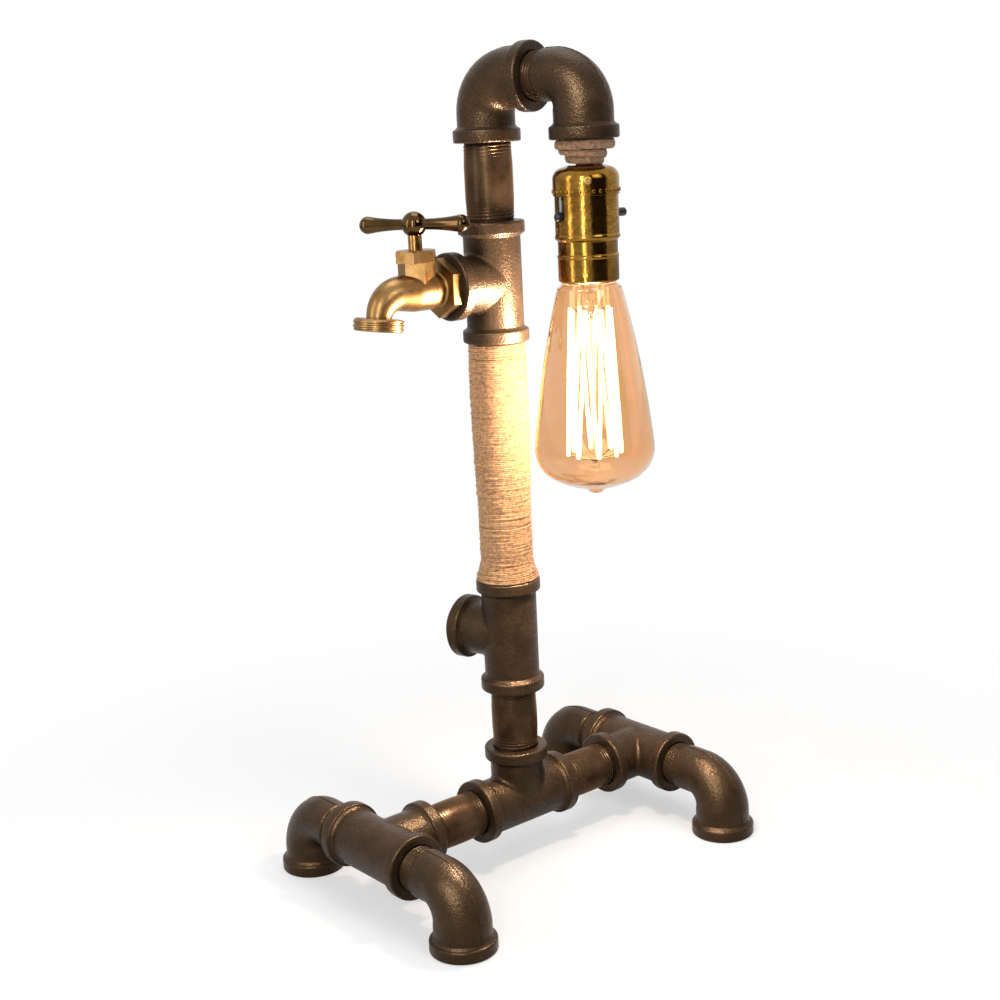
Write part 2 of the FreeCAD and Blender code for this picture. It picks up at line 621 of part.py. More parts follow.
def bend_path(body, start, end, radius):
    """Centre line of an elbow: up local Z from start, round the corner, out along local +X to end."""
    sketch = new_sketch(body, "XZ_Plane")
    centre = Vector(radius.number, -radius.number, 0)
    curves = [Part.LineSegment(Vector(0, start.number, 0), Vector(0, -radius.number, 0)),
              Part.ArcOfCircle(Part.Circle(centre, Vector(0, 0, 1), radius.number), math.pi / 2, math.pi),
              Part.LineSegment(Vector(radius.number, 0, 0), Vector(end.number, 0, 0))]
    for curve in curves:
        sketch.addGeometry(curve, False)
    fix_point(sketch, 0, 1, 0, start)
    fix_point(sketch, 0, 2, 0, -radius)
    sketch.addConstraint(Sketcher.Constraint("Coincident", 0, 2, 1, 2))
    sketch.addConstraint(Sketcher.Constraint("Coincident", 1, 1, 2, 1))
    fix_point(sketch, 2, 1, radius, 0)
    fix_point(sketch, 2, 2, end, 0)
    held = sketch.addConstraint(Sketcher.Constraint("Radius", 1, radius.number))
    bind(sketch, f"Constraints[{held}]", radius)
    return sketch


def corner_path(body):
    """Quarter turn of an elbow's centre line, from the local Z axis to the local X axis."""
    bend = size("bend_radius")
    corner = new_sketch(body, "XZ_Plane")
    centre = Vector(bend.number, -bend.number, 0)
    corner.addGeometry(Part.ArcOfCircle(Part.Circle(centre, Vector(0, 0, 1), bend.number), math.pi / 2, math.pi), False)
    fix_point(corner, 0, 3, bend, -bend)
    fix_point(corner, 0, 2, 0, -bend)
    held = corner.addConstraint(Sketcher.Constraint("DistanceX", -1, 1, 0, 1, bend.number))
    bind(corner, f"Constraints[{held}]", bend)
    return corner


def elbow(label):
    """Female ends along local -Z and local +X."""
    body = new_body(label)
    bend = size("bend_radius")
    radius = size("fitting_radius")
    passage = size("waterway_radius")
    piped(body, circle_sketch(body, "XY_Plane", radius, lift=-bend), corner_path(body))
    down = bead_outline(-bend, -reach, radius)
    turned(body, outline(body, "XZ_Plane", down + [(0, -bend)]))
    out = swap(bead_outline(bend, reach, radius))
    turned(body, outline(body, "XZ_Plane", out + [(bend, 0)]), "H_Axis")
    piped(body, circle_sketch(body, "XY_Plane", passage, lift=-bend), corner_path(body), remove=True)
    mouth = tapped_outline(-bend, -reach, passage)[:-2] + [(passage, -bend), (0, -bend)]
    turned(body, outline(body, "XZ_Plane", mouth), remove=True)
    side = swap(tapped_outline(bend, reach, passage)[:-2]) + [(bend, passage), (bend, 0)]
    turned(body, outline(body, "XZ_Plane", side), "H_Axis", remove=True)
    return body


def street_elbow(label):
    """Female end along local -Z, male end along local +X. The body narrows round the bend."""
    body = new_body(label)
    bend = size("bend_radius")
    start = circle_sketch(body, "XY_Plane", size("fitting_radius"), lift=-bend)
    finish = circle_sketch(body, "YZ_Plane", size("street_leg_radius"), lift=bend)
    piped(body, start, corner_path(body), sections=[finish])
    down = bead_outline(-bend, -reach, size("fitting_radius"))
    turned(body, outline(body, "XZ_Plane", down + [(0, -bend)]))
    thread = size("thread_radius")
    leg = size("street_leg_radius")
    chamfer = size("end_chamfer")
    body_end = size("street_body_end")
    tip = size("street_male_end")
    male = [(bend, 0), (bend, leg), (body_end - chamfer, leg), (body_end, leg - chamfer), (body_end, thread),
            (tip - chamfer, thread), (tip, thread - chamfer), (tip, 0)]
    turned(body, outline(body, "XZ_Plane", male), "H_Axis")
    bore = size("street_bore_radius")
    piped(body, circle_sketch(body, "XY_Plane", bore, lift=-reach), bend_path(body, -reach, tip, bend), remove=True)
    inner = -reach + size("thread_depth") + (thread - bore)
    turned(body, outline(body, "XZ_Plane", tapped_outline(inner, -reach, bore) [:-1] + [(0, inner)]), remove=True)
    return body


def nipple(label, gap, open_thread):
    """Pipe with a thread at both ends, along local Z and centred on the origin."""
    body = new_body(label)
    half = gap / 2 + size("pipe_engagement")
    thread = size("thread_radius")
    pipe = size("pipe_radius")
    bore = size("pipe_bore_radius")
    chamfer = size("end_chamfer")
    plain = gap / 2 - open_thread
    full = plain - size("runout")
    corners = [(bore, -half), (thread - chamfer, -half), (thread, -half + chamfer), (thread, -plain), (pipe, -full),
               (pipe, full), (thread, plain), (thread, half - chamfer), (thread - chamfer, half), (bore, half)]
    turned(body, outline(body, "XZ_Plane", corners))
    return body


def build_base():
    lying = about((1, 0, 0), 90)
    place(tee("base_centre_tee"), z=base_axis, turn=about((0, 1, 0), -90))
    place(tee("left_cross_tee"), x=-cross_tee_x, z=base_axis, turn=lying)
    place(tee("right_cross_tee"), x=cross_tee_x, z=base_axis, turn=about((0, 0, 1), 180) * lying)
    along_x = about((0, 1, 0), 90)
    middle = reach + size("base_gap") / 2
    for side, name in ((-1, "left"), (1, "right")):
        pipe = nipple(f"base_nipple_{name}", size("base_gap"), size("base_open_thread"))
        place(pipe, x=middle * side, z=base_axis, turn=along_x)
        for depth, end in ((-1, "front"), (1, "back")):
            foot = street_elbow(f"foot_{name}_{end}")
            place(foot, x=cross_tee_x * side, y=size("foot_offset") * depth, z=base_axis,
                  turn=about((0, 0, 1), -90 * depth))


def build_column():
    lower = nipple("lower_nipple", size("lower_gap"), size("lower_open_thread"))
    place(lower, z=reach * 2 + size("lower_gap") / 2)
    cord_tee = tee("lower_column_tee")
    place(cord_tee, z=lower_tee_z)
    turn_about_z(cord_tee, size("cord_branch_yaw") + 90)
    pipe = nipple("column_pipe", size("column_gap"), size("column_open_thread"))
    place(pipe, z=wrap_bottom + size("column_gap") / 2)
    place(tee("upper_column_tee"), z=upper_tee_z, turn=about((0, 0, 1), 180))
    upper = nipple("upper_nipple", size("upper_gap"), size("upper_open_thread"))
    place(upper, z=upper_face_z + size("upper_gap") / 2)


def build_arm():
    top = elbow("top_elbow")
    place(top, z=arm_axis_z)
    turn_about_z(top, size("arm_yaw") - 90)
    end = street_elbow("arm_street_elbow")
    place(end, x=lamp_x, y=lamp_y, z=arm_axis_z)
    turn_about_z(end, size("arm_yaw") + 90)


def build_wrap():
    """Jute twine round the column pipe, as the sleeve that its turns fill."""
    body = new_body("rope_wrap")
    bore = size("pipe_radius") + size("wrap_clearance")
    gap = size("column_gap")
    flare = size("wrap_flare_height")
    foot = size("wrap_foot_radius")
    ankle = size("wrap_ankle_radius")
    shoulder = size("wrap_shoulder_radius")
    waist = size("wrap_waist_radius")
    corners = [(bore, 0), (foot, 0), (foot, size("wrap_foot_height")), (ankle, flare, size("wrap_flare_round"), 1),
               (waist, size("wrap_waist_height")), (shoulder, size("wrap_shoulder_height"), size("wrap_round"), 1),
               (size("wrap_top_radius"), gap), (bore, gap)]
    turned(body, outline(body, "XZ_Plane", corners))
    place(body, z=wrap_bottom)


def build_grommet():
    """Rubber grommet in the lower tee's open branch, along local +X like that branch."""
    body = new_body("cord_grommet")
    flange = size("grommet_flange_radius")
    plug = size("grommet_plug_radius")
    hole = size("cord_hole_radius")
    outer = reach + size("grommet_flange_width")
    inner = reach - size("grommet_plug_length")
    turn = size("grommet_round")
    corners = [(inner, hole), (inner, plug - turn), (inner + turn, plug), (reach, plug), (reach, flange),
               (outer - turn, flange), (outer, flange - turn, turn, 1), (outer, hole)]
    turned(body, outline(body, "XZ_Plane", corners), "H_Axis")
    place(body, z=lower_tee_z)
    turn_about_z(body, size("cord_branch_yaw") + 90)


# ---------------------------------------------------------------------------------------------
# Hose faucet. Local +X points away from the column, the valve stem is upright.
# ---------------------------------------------------------------------------------------------
def place_faucet_piece(piece):
    place(piece, z=upper_tee_z, turn=about((0, 0, 1), 180))


def place_on_stem(piece):
    place(piece, x=-size("stem_offset"), z=upper_tee_z)


def spout_end():
    """Centre of the spout's end in the faucet's XZ plane."""
    bend = size("spout_bend")
    angle = size("spout_angle")
    return size("barrel_end") + bend * sine(angle), -(bend * (1 - cosine(angle)))


def spout_path(body, back_to=None):
    """Centre line of the spout's bend, with a straight run before it if back_to is given."""
    bend = size("spout_bend")
    start = size("barrel_end")
    sketch = new_sketch(body, "XZ_Plane")
    turn = math.radians(size("spout_angle").number)
    centre = Vector(start.number, -bend.number, 0)
    circle = Part.Circle(centre, Vector(0, 0, 1), bend.number)
    sketch.addGeometry(Part.ArcOfCircle(circle, math.pi / 2 - turn, math.pi / 2), False)
    fix_point(sketch, 0, 3, start, -bend)
    fix_point(sketch, 0, 2, start, 0)
    held = sketch.addConstraint(Sketcher.Constraint("DistanceX", -1, 1, 0, 1, spout_end()[0].number))
    bind(sketch, f"Constraints[{held}]", spout_end()[0])
    if back_to is not None:
        sketch.addGeometry(Part.LineSegment(Vector(back_to.number, 0, 0), Vector(start.number, 0, 0)), False)
        fix_point(sketch, 1, 1, back_to, 0)
        sketch.addConstraint(Sketcher.Constraint("Coincident", 1, 2, 0, 2))
    return sketch


def build_faucet_body():
    body = new_body("faucet_body")
    thread = size("thread_radius")
    shank = size("shank_end")
    flange = size("flange_start")
    waist = size("waist_radius")
    stem = size("stem_offset")
    barrel = size("barrel_radius")
    barrel_end = size("barrel_end")
    end_radius = size("barrel_end_radius")
    flange_end = size("flange_end")
    chamfer = size("end_chamfer")
    hub = size("flange_hub_radius")
    hollow = size("waist_root")
    profile = [(shank, 0), (shank, thread - chamfer), (shank + chamfer, thread), (flange, thread), (flange, hub),
               (flange_end, hub), (flange_end, waist + hollow), (flange_end + hollow, waist, hollow, -1),
               (stem - size("barrel_front"), barrel, size("barrel_round"), 1), (stem + size("barrel_back"), barrel),
               (barrel_end, end_radius), (barrel_end, 0)]
    turned(body, outline(body, "XZ_Plane", profile), "H_Axis")
    hexagon = hexagon_sketch(body, "YZ_Plane", size("flange_across"), lift=flange, corner_up=True)
    extruded(body, hexagon, flange_end - flange)
    build_spout(body)
    extruded(body, circle_sketch(body, "XY_Plane", size("neck_radius"), x=stem), size("neck_top"))
    bore_faucet(body)
    place_faucet_piece(body)


def build_spout(body):
    """Tapered spout round the bend, then the hose thread on its tilted axis."""
    start = circle_sketch(body, "YZ_Plane", size("barrel_end_radius"), lift=size("barrel_end"))
    piped(body, start, spout_path(body), sections=[tilted_circle(body, size("spout_neck_radius"))])
    hose = tilted_circle(body, size("hose_radius"))
    collar = extruded(body, hose, size("hose_length"))
    filleted(body, collar, size("hose_round"), lambda edge: is_circle(edge, size("hose_radius").number))


def tilted_circle(body, radius):
    """Circle round the spout's axis, on the plane where the spout ends."""
    x, z = spout_end()
    angle = size("spout_angle")
    sketch = new_sketch(body, "YZ_Plane")
    sketch.AttachmentOffset = Placement(Vector(0, z.number, x.number), about((1, 0, 0), angle.number))
    bind(sketch, "AttachmentOffset.Base.y", z)
    bind(sketch, "AttachmentOffset.Base.z", x)
    bind(sketch, "AttachmentOffset.Rotation.Angle", angle)
    curve = sketch.addGeometry(Part.Circle(Vector(0, 0, 0), Vector(0, 0, 1), radius.number), False)
    held = sketch.addConstraint(Sketcher.Constraint("Radius", curve, radius.number))
    bind(sketch, f"Constraints[{held}]", radius)
    sketch.addConstraint(Sketcher.Constraint("Coincident", curve, 3, -1, 1))
    return sketch


def bore_faucet(body):
    """Inlet, seat, valve chamber and the way out through the spout."""
    stem = size("stem_offset")
    floor = size("chamber_floor")
    lip = size("seat_lip")
    seat = size("seat_hole_radius")
    chamber = size("chamber_radius")
    top = size("neck_top")
    shank = size("shank_end")
    inlet_end = size("inlet_end")
    inlet = size("inlet_radius")
    drop = size("inlet_drop")
    wide = circle_sketch(body, "YZ_Plane", size("shank_bore_radius"), lift=shank)
    extruded(body, wide, inlet_end - shank, remove=True, reverse=True)
    narrow = circle_sketch(body, "YZ_Plane", inlet, lift=inlet_end, y=-drop)
    extruded(body, narrow, stem + seat - inlet_end, remove=True, reverse=True)
    extruded(body, circle_sketch(body, "XY_Plane", chamber, lift=top, x=stem), top - floor - lip, remove=True)
    moat = circle_sketch(body, "XY_Plane", chamber, lift=floor + lip, x=stem)
    add_circle(moat, size("seat_lip_radius"), stem)
    extruded(body, moat, lip, remove=True)
    extruded(body, circle_sketch(body, "XY_Plane", seat, lift=floor + lip, x=stem), floor + lip + drop, remove=True)
    outlet = size("outlet_radius")
    start = size("outlet_start")
    piped(body, circle_sketch(body, "YZ_Plane", outlet, lift=start), spout_path(body, start), remove=True)
    extruded(body, tilted_circle(body, outlet), size("hose_length"), remove=True, reverse=True)


def build_bonnet():
    """Hexagon nut on top of the neck, with the packing's recess open to the chamber."""
    body = new_body("bonnet_nut")
    top = size("neck_top")
    end = top + size("bonnet_height")
    extruded(body, hexagon_sketch(body, "XY_Plane", size("bonnet_across"), lift=top), end - top)
    spigot = circle_sketch(body, "XY_Plane", size("spigot_radius"), lift=top - size("bonnet_spigot"))
    extruded(body, spigot, size("bonnet_spigot"))
    slope = size("bonnet_slope")
    corner = size("bonnet_across") / 2 * HEX_CORNER
    flat = size("bonnet_across") / 2
    edge = [(flat, end), (corner + slope, end - slope), (corner + slope, end + slope), (flat, end + slope)]
    turned(body, outline(body, "XZ_Plane", edge), remove=True)
    roof = size("packing_base") + size("packing_height")
    extruded(body, circle_sketch(body, "XY_Plane", size("stem_radius") + size("running_gap"), lift=end),
             end - top + size("bonnet_spigot"), remove=True)
    extruded(body, circle_sketch(body, "XY_Plane", size("packing_radius"), lift=roof),
             roof - top + size("bonnet_spigot"), remove=True)
    place_on_stem(body)
    packing = new_body("stem_packing")
    base = size("packing_base")
    ring(packing, "XZ_Plane", size("packing_radius"), size("stem_radius") + size("running_gap"), base, roof)
    place_on_stem(packing)


def build_valve():
    """Stem with its foot, the swivel cup below it and the washer that the cup carries."""
    seat_top = size("chamber_floor") + size("seat_lip")
    washer_top = seat_top + size("washer_height")
    web_top = washer_top + size("holder_height")
    foot = web_top + size("thrust_gap")
    hub = size("hub_height")
    shoulder = hub - size("stem_shoulder")
    pin = size("holder_pin_radius")
    hole = pin + size("running_gap")
    stem = new_body("valve_stem")
    foot_top = foot + size("stem_foot_height")
    depth = foot + size("holder_pin_length") + size("thrust_gap")
    foot_radius = size("stem_foot_width")
    radius = size("stem_radius")
    tip = size("stem_spigot_radius")
    tip_end = shoulder + size("stem_spigot_length")
    corners = [(0, depth), (hole, depth), (hole, foot), (foot_radius, foot), (foot_radius, foot_top),
               (radius, foot_top), (radius, shoulder), (tip, shoulder), (tip, tip_end), (0, tip_end)]
    turned(stem, outline(stem, "XZ_Plane", corners))
    place_on_stem(stem)
    cup = new_body("washer_holder")
    rim = size("holder_radius")
    washer = size("washer_radius")
    skirt = washer_top - size("holder_skirt")
    pin_top = web_top + size("holder_pin_length")
    corners = [(0, washer_top), (washer, washer_top), (washer, skirt), (rim, skirt), (rim, web_top), (pin, web_top),
               (pin, pin_top), (0, pin_top)]
    turned(cup, outline(cup, "XZ_Plane", corners))
    place_on_stem(cup)
    disc = new_body("seat_washer")
    turned(disc, outline(disc, "XZ_Plane", [(0, seat_top), (washer, seat_top), (washer, washer_top), (0, washer_top)]))
    place_on_stem(disc)


def build_handle():
    """T handle: two arms that swell towards rounded tips, and a ball bored for the stem."""
    body = new_body("tee_handle")
    hub = size("hub_height")
    ball = size("hub_radius")
    root = size("arm_root_radius")
    tip = size("arm_tip_radius")
    long = size("handle_reach")
    arms = [(-long, 0), (-long + tip, tip, tip, 1), (-ball, root, size("arm_swell"), -1), (ball, root),
            (long - tip, tip, size("arm_swell"), -1), (long, 0, tip, 1)]
    turned(body, lifted(outline(body, "XZ_Plane", arms), hub), "H_Axis")
    turned(body, outline(body, "XZ_Plane", [(0, hub - ball), (0, hub + ball, ball, -1)]))
    shoulder = hub - size("stem_shoulder")
    socket = [(0, hub - ball), (size("stem_radius"), hub - ball), (size("stem_radius"), shoulder),
              (size("stem_spigot_radius"), shoulder),
              (size("stem_spigot_radius"), shoulder + size("stem_spigot_length")),
              (0, shoulder + size("stem_spigot_length"))]
    turned(body, outline(body, "XZ_Plane", socket), remove=True)
    grub = size("set_screw_radius")
    extruded(body, circle_sketch(body, "XZ_Plane", grub, y=hub), ball, remove=True)
    place_on_stem(body)
    turn_about_z(body, size("handle_yaw"))
    screw = new_body("handle_set_screw")
    start = size("stem_spigot_radius")
    end = size("set_screw_end")
    extruded(screw, circle_sketch(screw, "XZ_Plane", grub, lift=-start, y=hub), end - start, reverse=True)
    key = circle_sketch(screw, "XZ_Plane", size("set_screw_key"), lift=-end, y=hub)
    extruded(screw, key, size("set_screw_key_depth"), remove=True, reverse=True)
    place_on_stem(screw)
    turn_about_z(screw, size("handle_yaw"))


def lifted(sketch, height):
    """Move a sketch up its own plane, so that its horizontal axis lies at that height."""
    sketch.AttachmentOffset = Placement(Vector(0, height.number, 0), Rotation())
    bind(sketch, "AttachmentOffset.Base.y", height)
    return sketch


# ---------------------------------------------------------------------------------------------
# Arm end. Local origin at the centre of the arm elbow's face, so everything below it is at -Z.
# ---------------------------------------------------------------------------------------------
def place_at_lamp(piece, turn=None):
    place(piece, x=lamp_x, y=lamp_y, z=arm_face_z)
    if turn is not None:
        turn_about_z(piece, turn)


def build_arm_end():
    bushing = new_body("reducing_bushing")
    head = size("bushing_head")
    depth = size("bushing_depth")
    thread = size("thread_radius")
    pipe = size("lamp_nipple_radius")
    chamfer = size("end_chamfer")
    cup = size("bushing_cup_radius")
    floor = size("bushing_cup_floor")
    extruded(bushing, hexagon_sketch(bushing, "XY_Plane", size("bushing_across"), lift=-head), head)
    shank = [(0, -chamfer), (thread, -chamfer), (thread, depth - chamfer), (thread - chamfer, depth), (0, depth)]
    turned(bushing, outline(bushing, "XZ_Plane", shank))
    hollow = [(0, -head), (pipe, -head), (pipe, floor), (cup, floor + chamfer), (cup, depth), (0, depth)]
    turned(bushing, outline(bushing, "XZ_Plane", hollow), remove=True)
    place_at_lamp(bushing)
    tube = new_body("lamp_nipple")
    ring(tube, "XZ_Plane", pipe, size("lamp_nipple_bore"), -size("cap_boss_end"), size("lamp_nipple_top"))
    place_at_lamp(tube)
    nut = new_body("nipple_locknut")
    low = size("locknut_base")
    extruded(nut, hexagon_sketch(nut, "XY_Plane", size("locknut_across"), lift=-low), size("locknut_height"))
    extruded(nut, circle_sketch(nut, "XY_Plane", pipe, lift=-low), size("locknut_height"), remove=True, reverse=True)
    place_at_lamp(nut)
    twine = new_body("twine_collar")
    gap = size("collar_gap")
    inner = pipe + gap
    bottom = size("collar_bottom")
    room = size("locknut_across") / 2 * HEX_CORNER + gap * 4
    wide = size("bushing_across") / 2 * HEX_CORNER + gap * 4
    step = size("collar_step")
    corners = [(inner, -bottom), (size("collar_toe_radius"), -bottom), (size("collar_waist_radius"), -size("collar_waist")),
               (size("collar_step_radius"), -step), (size("collar_radius"), -step),
               (size("collar_radius"), -size("collar_top")), (wide, -size("collar_top")), (wide, -head - gap),
               (inner, -head - gap), (inner, -low + size("locknut_height") + gap),
               (room, -low + size("locknut_height") + gap), (room, -low - gap), (inner, -low - gap)]
    turned(twine, outline(twine, "XZ_Plane", corners))
    place_at_lamp(twine)


def build_cap():
    """Pressed socket cap with a tapped boss inside, and the screw that holds it on the nipple."""
    body = new_body("socket_cap")
    wall = size("sheet_wall")
    pipe = size("lamp_nipple_radius")
    top = size("cap_top")
    neck = size("cap_neck_radius")
    brow = size("cap_brow_radius")
    brow_z = size("cap_brow")
    radius = size("cap_radius")
    cheek = size("cap_cheek")
    skirt = size("cap_skirt_end")
    bow = size("cap_round")
    boss = size("cap_boss_radius")
    boss_end = size("cap_boss_end")
    corners = [(pipe, -top), (neck, -top), (brow, -brow_z), (radius, -cheek, bow, 1), (radius, -skirt),
               (radius - wall, -skirt), (radius - wall, -cheek), (brow - wall / 2, -brow_z - wall, bow - wall, -1),
               (neck, -top - wall), (boss, -top - wall), (boss, -boss_end), (pipe, -boss_end)]
    turned(body, outline(body, "XZ_Plane", corners))
    height = size("cap_screw_height")
    shank = size("cap_screw_radius")
    extruded(body, circle_sketch(body, "YZ_Plane", shank, lift=radius, y=-height), radius, remove=True)
    place_at_lamp(body, size("cap_screw_yaw"))
    screw = new_body("cap_set_screw")
    head = size("cap_screw_head")
    thick = size("cap_screw_head_height")
    crown = size("cap_screw_crown")
    corners = [(pipe, 0), (pipe, shank), (radius, shank), (radius, head), (radius + thick - crown, head),
               (radius + thick, head - crown, crown, 1), (radius + thick, 0)]
    turned(screw, lifted(outline(screw, "XZ_Plane", corners), -height), "H_Axis")
    slot = box_sketch(screw, "YZ_Plane", size("screw_slot"), head * 2 + 1, lift=radius + thick, y=-height)
    extruded(screw, slot, size("screw_slot_depth"), remove=True)
    place_at_lamp(screw, size("cap_screw_yaw"))


def bar_window(body, top):
    """Cut the two windows for the switch bar, open upwards, through both sides."""
    half = size("slot_width") / 2
    low = -size("slot_end") + half
    corners = [(half, top), (-half, top), (-half, low), (0, low - half, half, -1), (half, low, half, -1)]
    extruded(body, outline(body, "YZ_Plane", corners), size("cap_radius") * 3, remove=True, middle=True)


def build_shell():
    """Spun brass shell with two rolled beads and an edge turned in below, and its liner."""
    body = new_body("socket_shell")
    wall = size("sheet_wall")
    upper = size("shell_radius")
    lower = size("shell_lower_radius")
    last = size("shell_last_radius")
    bead = size("shell_bead_height")
    half = size("shell_bead_half")
    ring_z = size("shell_ring_height")
    ring_half = size("shell_ring_half")
    bottom = size("shell_bottom")
    edge = size("shell_edge_round")
    opening = size("shell_opening")
    top = size("shell_top")
    step = upper - lower
    corners = [(upper, -top), (upper, -bead + half), (upper, -bead - half, size("shell_bead_round"), 1),
               (lower, -bead - half - step), (lower, -ring_z + ring_half),
               (last, -ring_z - ring_half, size("shell_ring_round"), 1), (last, -bottom + edge),
               (last - edge, -bottom, edge, 1), (opening, -bottom), (opening, -bottom + wall),
               (last - wall, -bottom + wall * 2), (last - wall, -ring_z - ring_half - wall),
               (lower - wall, -ring_z - ring_half), (lower - wall, -bead - half - step),
               (upper - wall, -bead - half), (upper - wall, -top)]
    turned(body, outline(body, "XZ_Plane", corners))
    bar_window(body, -top + wall)
    place_at_lamp(body, size("bar_yaw"))
    liner = new_body("shell_liner")
    outer = size("liner_radius")
    ring(liner, "XZ_Plane", outer, outer - size("liner_wall"), -size("liner_bottom"), -size("liner_top"))
    bar_window(liner, -size("liner_top") + wall)
    place_at_lamp(liner, size("bar_yaw"))


def build_switch():
    """Switch body with its bay, the push-through bar and what the bar moves."""
    body = new_body("switch_body")
    radius = size("switch_radius")
    top = size("switch_top")
    bottom = size("switch_bottom")
    bar_z = size("bar_height")
    bar = size("bar_radius")
    post = size("contact_post_radius")
    extruded(body, circle_sketch(body, "XY_Plane", radius, lift=-bottom), bottom - top)
    bay_depth = size("bay_depth")
    bay = box_sketch(body, "XY_Plane", size("bay_length"), size("bay_width"), lift=-top)
    extruded(body, bay, bay_depth, remove=True)
    way = circle_sketch(body, "YZ_Plane", bar + size("running_gap"), y=-bar_z)
    extruded(body, way, radius * 3, remove=True, middle=True)
    extruded(body, circle_sketch(body, "XY_Plane", post, lift=-top - bay_depth), bottom - top - bay_depth, remove=True)
    flat = size("terminal_flat")
    deep = size("terminal_flat_depth")
    terminal_z = size("terminal_height")
    shank = size("terminal_shank_radius")
    for side in (-1, 1):
        step = box_sketch(body, "XY_Plane", radius * 2, radius, lift=-top, y=(flat + radius / 2) * side)
        extruded(body, step, deep, remove=True)
    extruded(body, circle_sketch(body, "XZ_Plane", shank, y=-terminal_z), radius * 3, remove=True, middle=True)
    place_at_lamp(body, size("bar_yaw"))
    build_terminals(terminal_z, shank)
    rod = new_body("push_bar")
    half = size("bar_half_length")
    collar = size("bar_collar_radius")
    width = size("bar_collar_width") / 2
    end = size("bar_end_round")
    corners = [(-half, 0), (-half, bar - end), (-half + end, bar, end, 1), (-width, bar), (-width, collar),
               (width, collar), (width, bar), (half - end, bar), (half, bar - end, end, 1), (half, 0)]
    turned(rod, lifted(outline(rod, "XZ_Plane", corners), -bar_z), "H_Axis")
    place_with_bar(rod)
    bridge = new_body("contact_bridge")
    reach_x = size("contact_width") / 2
    outer = collar + size("contact_ring_wall")
    band = [(-reach_x, collar), (reach_x, collar), (reach_x, outer), (-reach_x, outer)]
    turned(bridge, lifted(outline(bridge, "XZ_Plane", band), -bar_z), "H_Axis")
    place_with_bar(bridge)


def place_with_bar(piece):
    """The bar stands pushed along its own direction at rest."""
    yaw = size("bar_yaw")
    shift = size("bar_shift")
    place(piece, x=lamp_x + shift * cosine(yaw), y=lamp_y + shift * sine(yaw), z=arm_face_z)
    turn_about_z(piece, yaw)


def build_terminals(height, shank):
    """Two terminal screws, one on each flat of the switch body."""
    body = new_body("terminal_screws")
    body.AllowCompound = True
    flat = size("terminal_flat")
    head = size("terminal_head_radius")
    thick = size("terminal_head_height")
    length = size("terminal_shank_length")
    for side in (1, -1):
        up = side < 0
        extruded(body, circle_sketch(body, "XZ_Plane", head, lift=flat * side, y=-height), thick, reverse=up)
        extruded(body, circle_sketch(body, "XZ_Plane", shank, lift=flat * side, y=-height), length, reverse=not up)
    place_at_lamp(body, size("bar_yaw"))


def build_lamp_thread():
    """Thread shell of the lampholder and the centre contact riveted through the switch body."""
    shell = new_body("screw_shell")
    radius = size("screw_shell_radius")
    wall = size("screw_shell_wall")
    top = size("switch_bottom")
    end = size("screw_shell_end")
    hole = size("screw_shell_hole")
    turn = size("screw_shell_round")
    corners = [(hole, -top), (radius - turn, -top), (radius, -top - turn, turn, 1), (radius, -end),
               (radius - wall, -end), (radius - wall, -top - turn), (radius - turn, -top - wall, turn - wall, -1),
               (hole, -top - wall)]
    turned(shell, outline(shell, "XZ_Plane", corners))
    place_at_lamp(shell)
    contact = new_body("centre_contact")
    plate = size("contact_plate_radius")
    post = size("contact_post_radius")
    low = size("contact_bottom")
    high = size("contact_post_top")
    turned(contact, outline(contact, "XZ_Plane",
                            [(0, -low), (plate, -low), (plate, -top), (post, -top), (post, -high), (0, -high)]))
    place_at_lamp(contact)


# ---------------------------------------------------------------------------------------------
# Filament bulb, in the same local frame
# ---------------------------------------------------------------------------------------------
def build_bulb_cap():
    contact = new_body("bulb_end_contact")
    top = size("bulb_contact_top")
    end = size("bulb_contact_end")
    wide = size("bulb_contact_radius")
    narrow = size("bulb_contact_top_radius")
    turned(contact, outline(contact, "XZ_Plane", [(0, -end), (wide, -end), (narrow, -top), (0, -top)]))
    place_at_lamp(contact)
    cone = new_body("bulb_cap_insulator")
    cap_top = size("bulb_cap_top")
    rim = size("insulator_radius")
    foot = cap_top + size("insulator_rim")
    turned(cone, outline(cone, "XZ_Plane", [(0, -foot), (rim, -foot), (rim, -cap_top), (wide, -end), (0, -end)]))
    place_at_lamp(cone)
    cap = new_body("bulb_screw_cap")
    radius = size("bulb_cap_radius")
    wall = size("bulb_cap_wall")
    low = size("bulb_cap_end")
    turn = radius - rim
    corners = [(rim, -cap_top), (radius, -cap_top - turn, turn, 1), (radius, -low), (radius - wall, -low),
               (radius - wall, -foot), (rim, -foot)]
    turned(cap, outline(cap, "XZ_Plane", corners))
    place_at_lamp(cap)


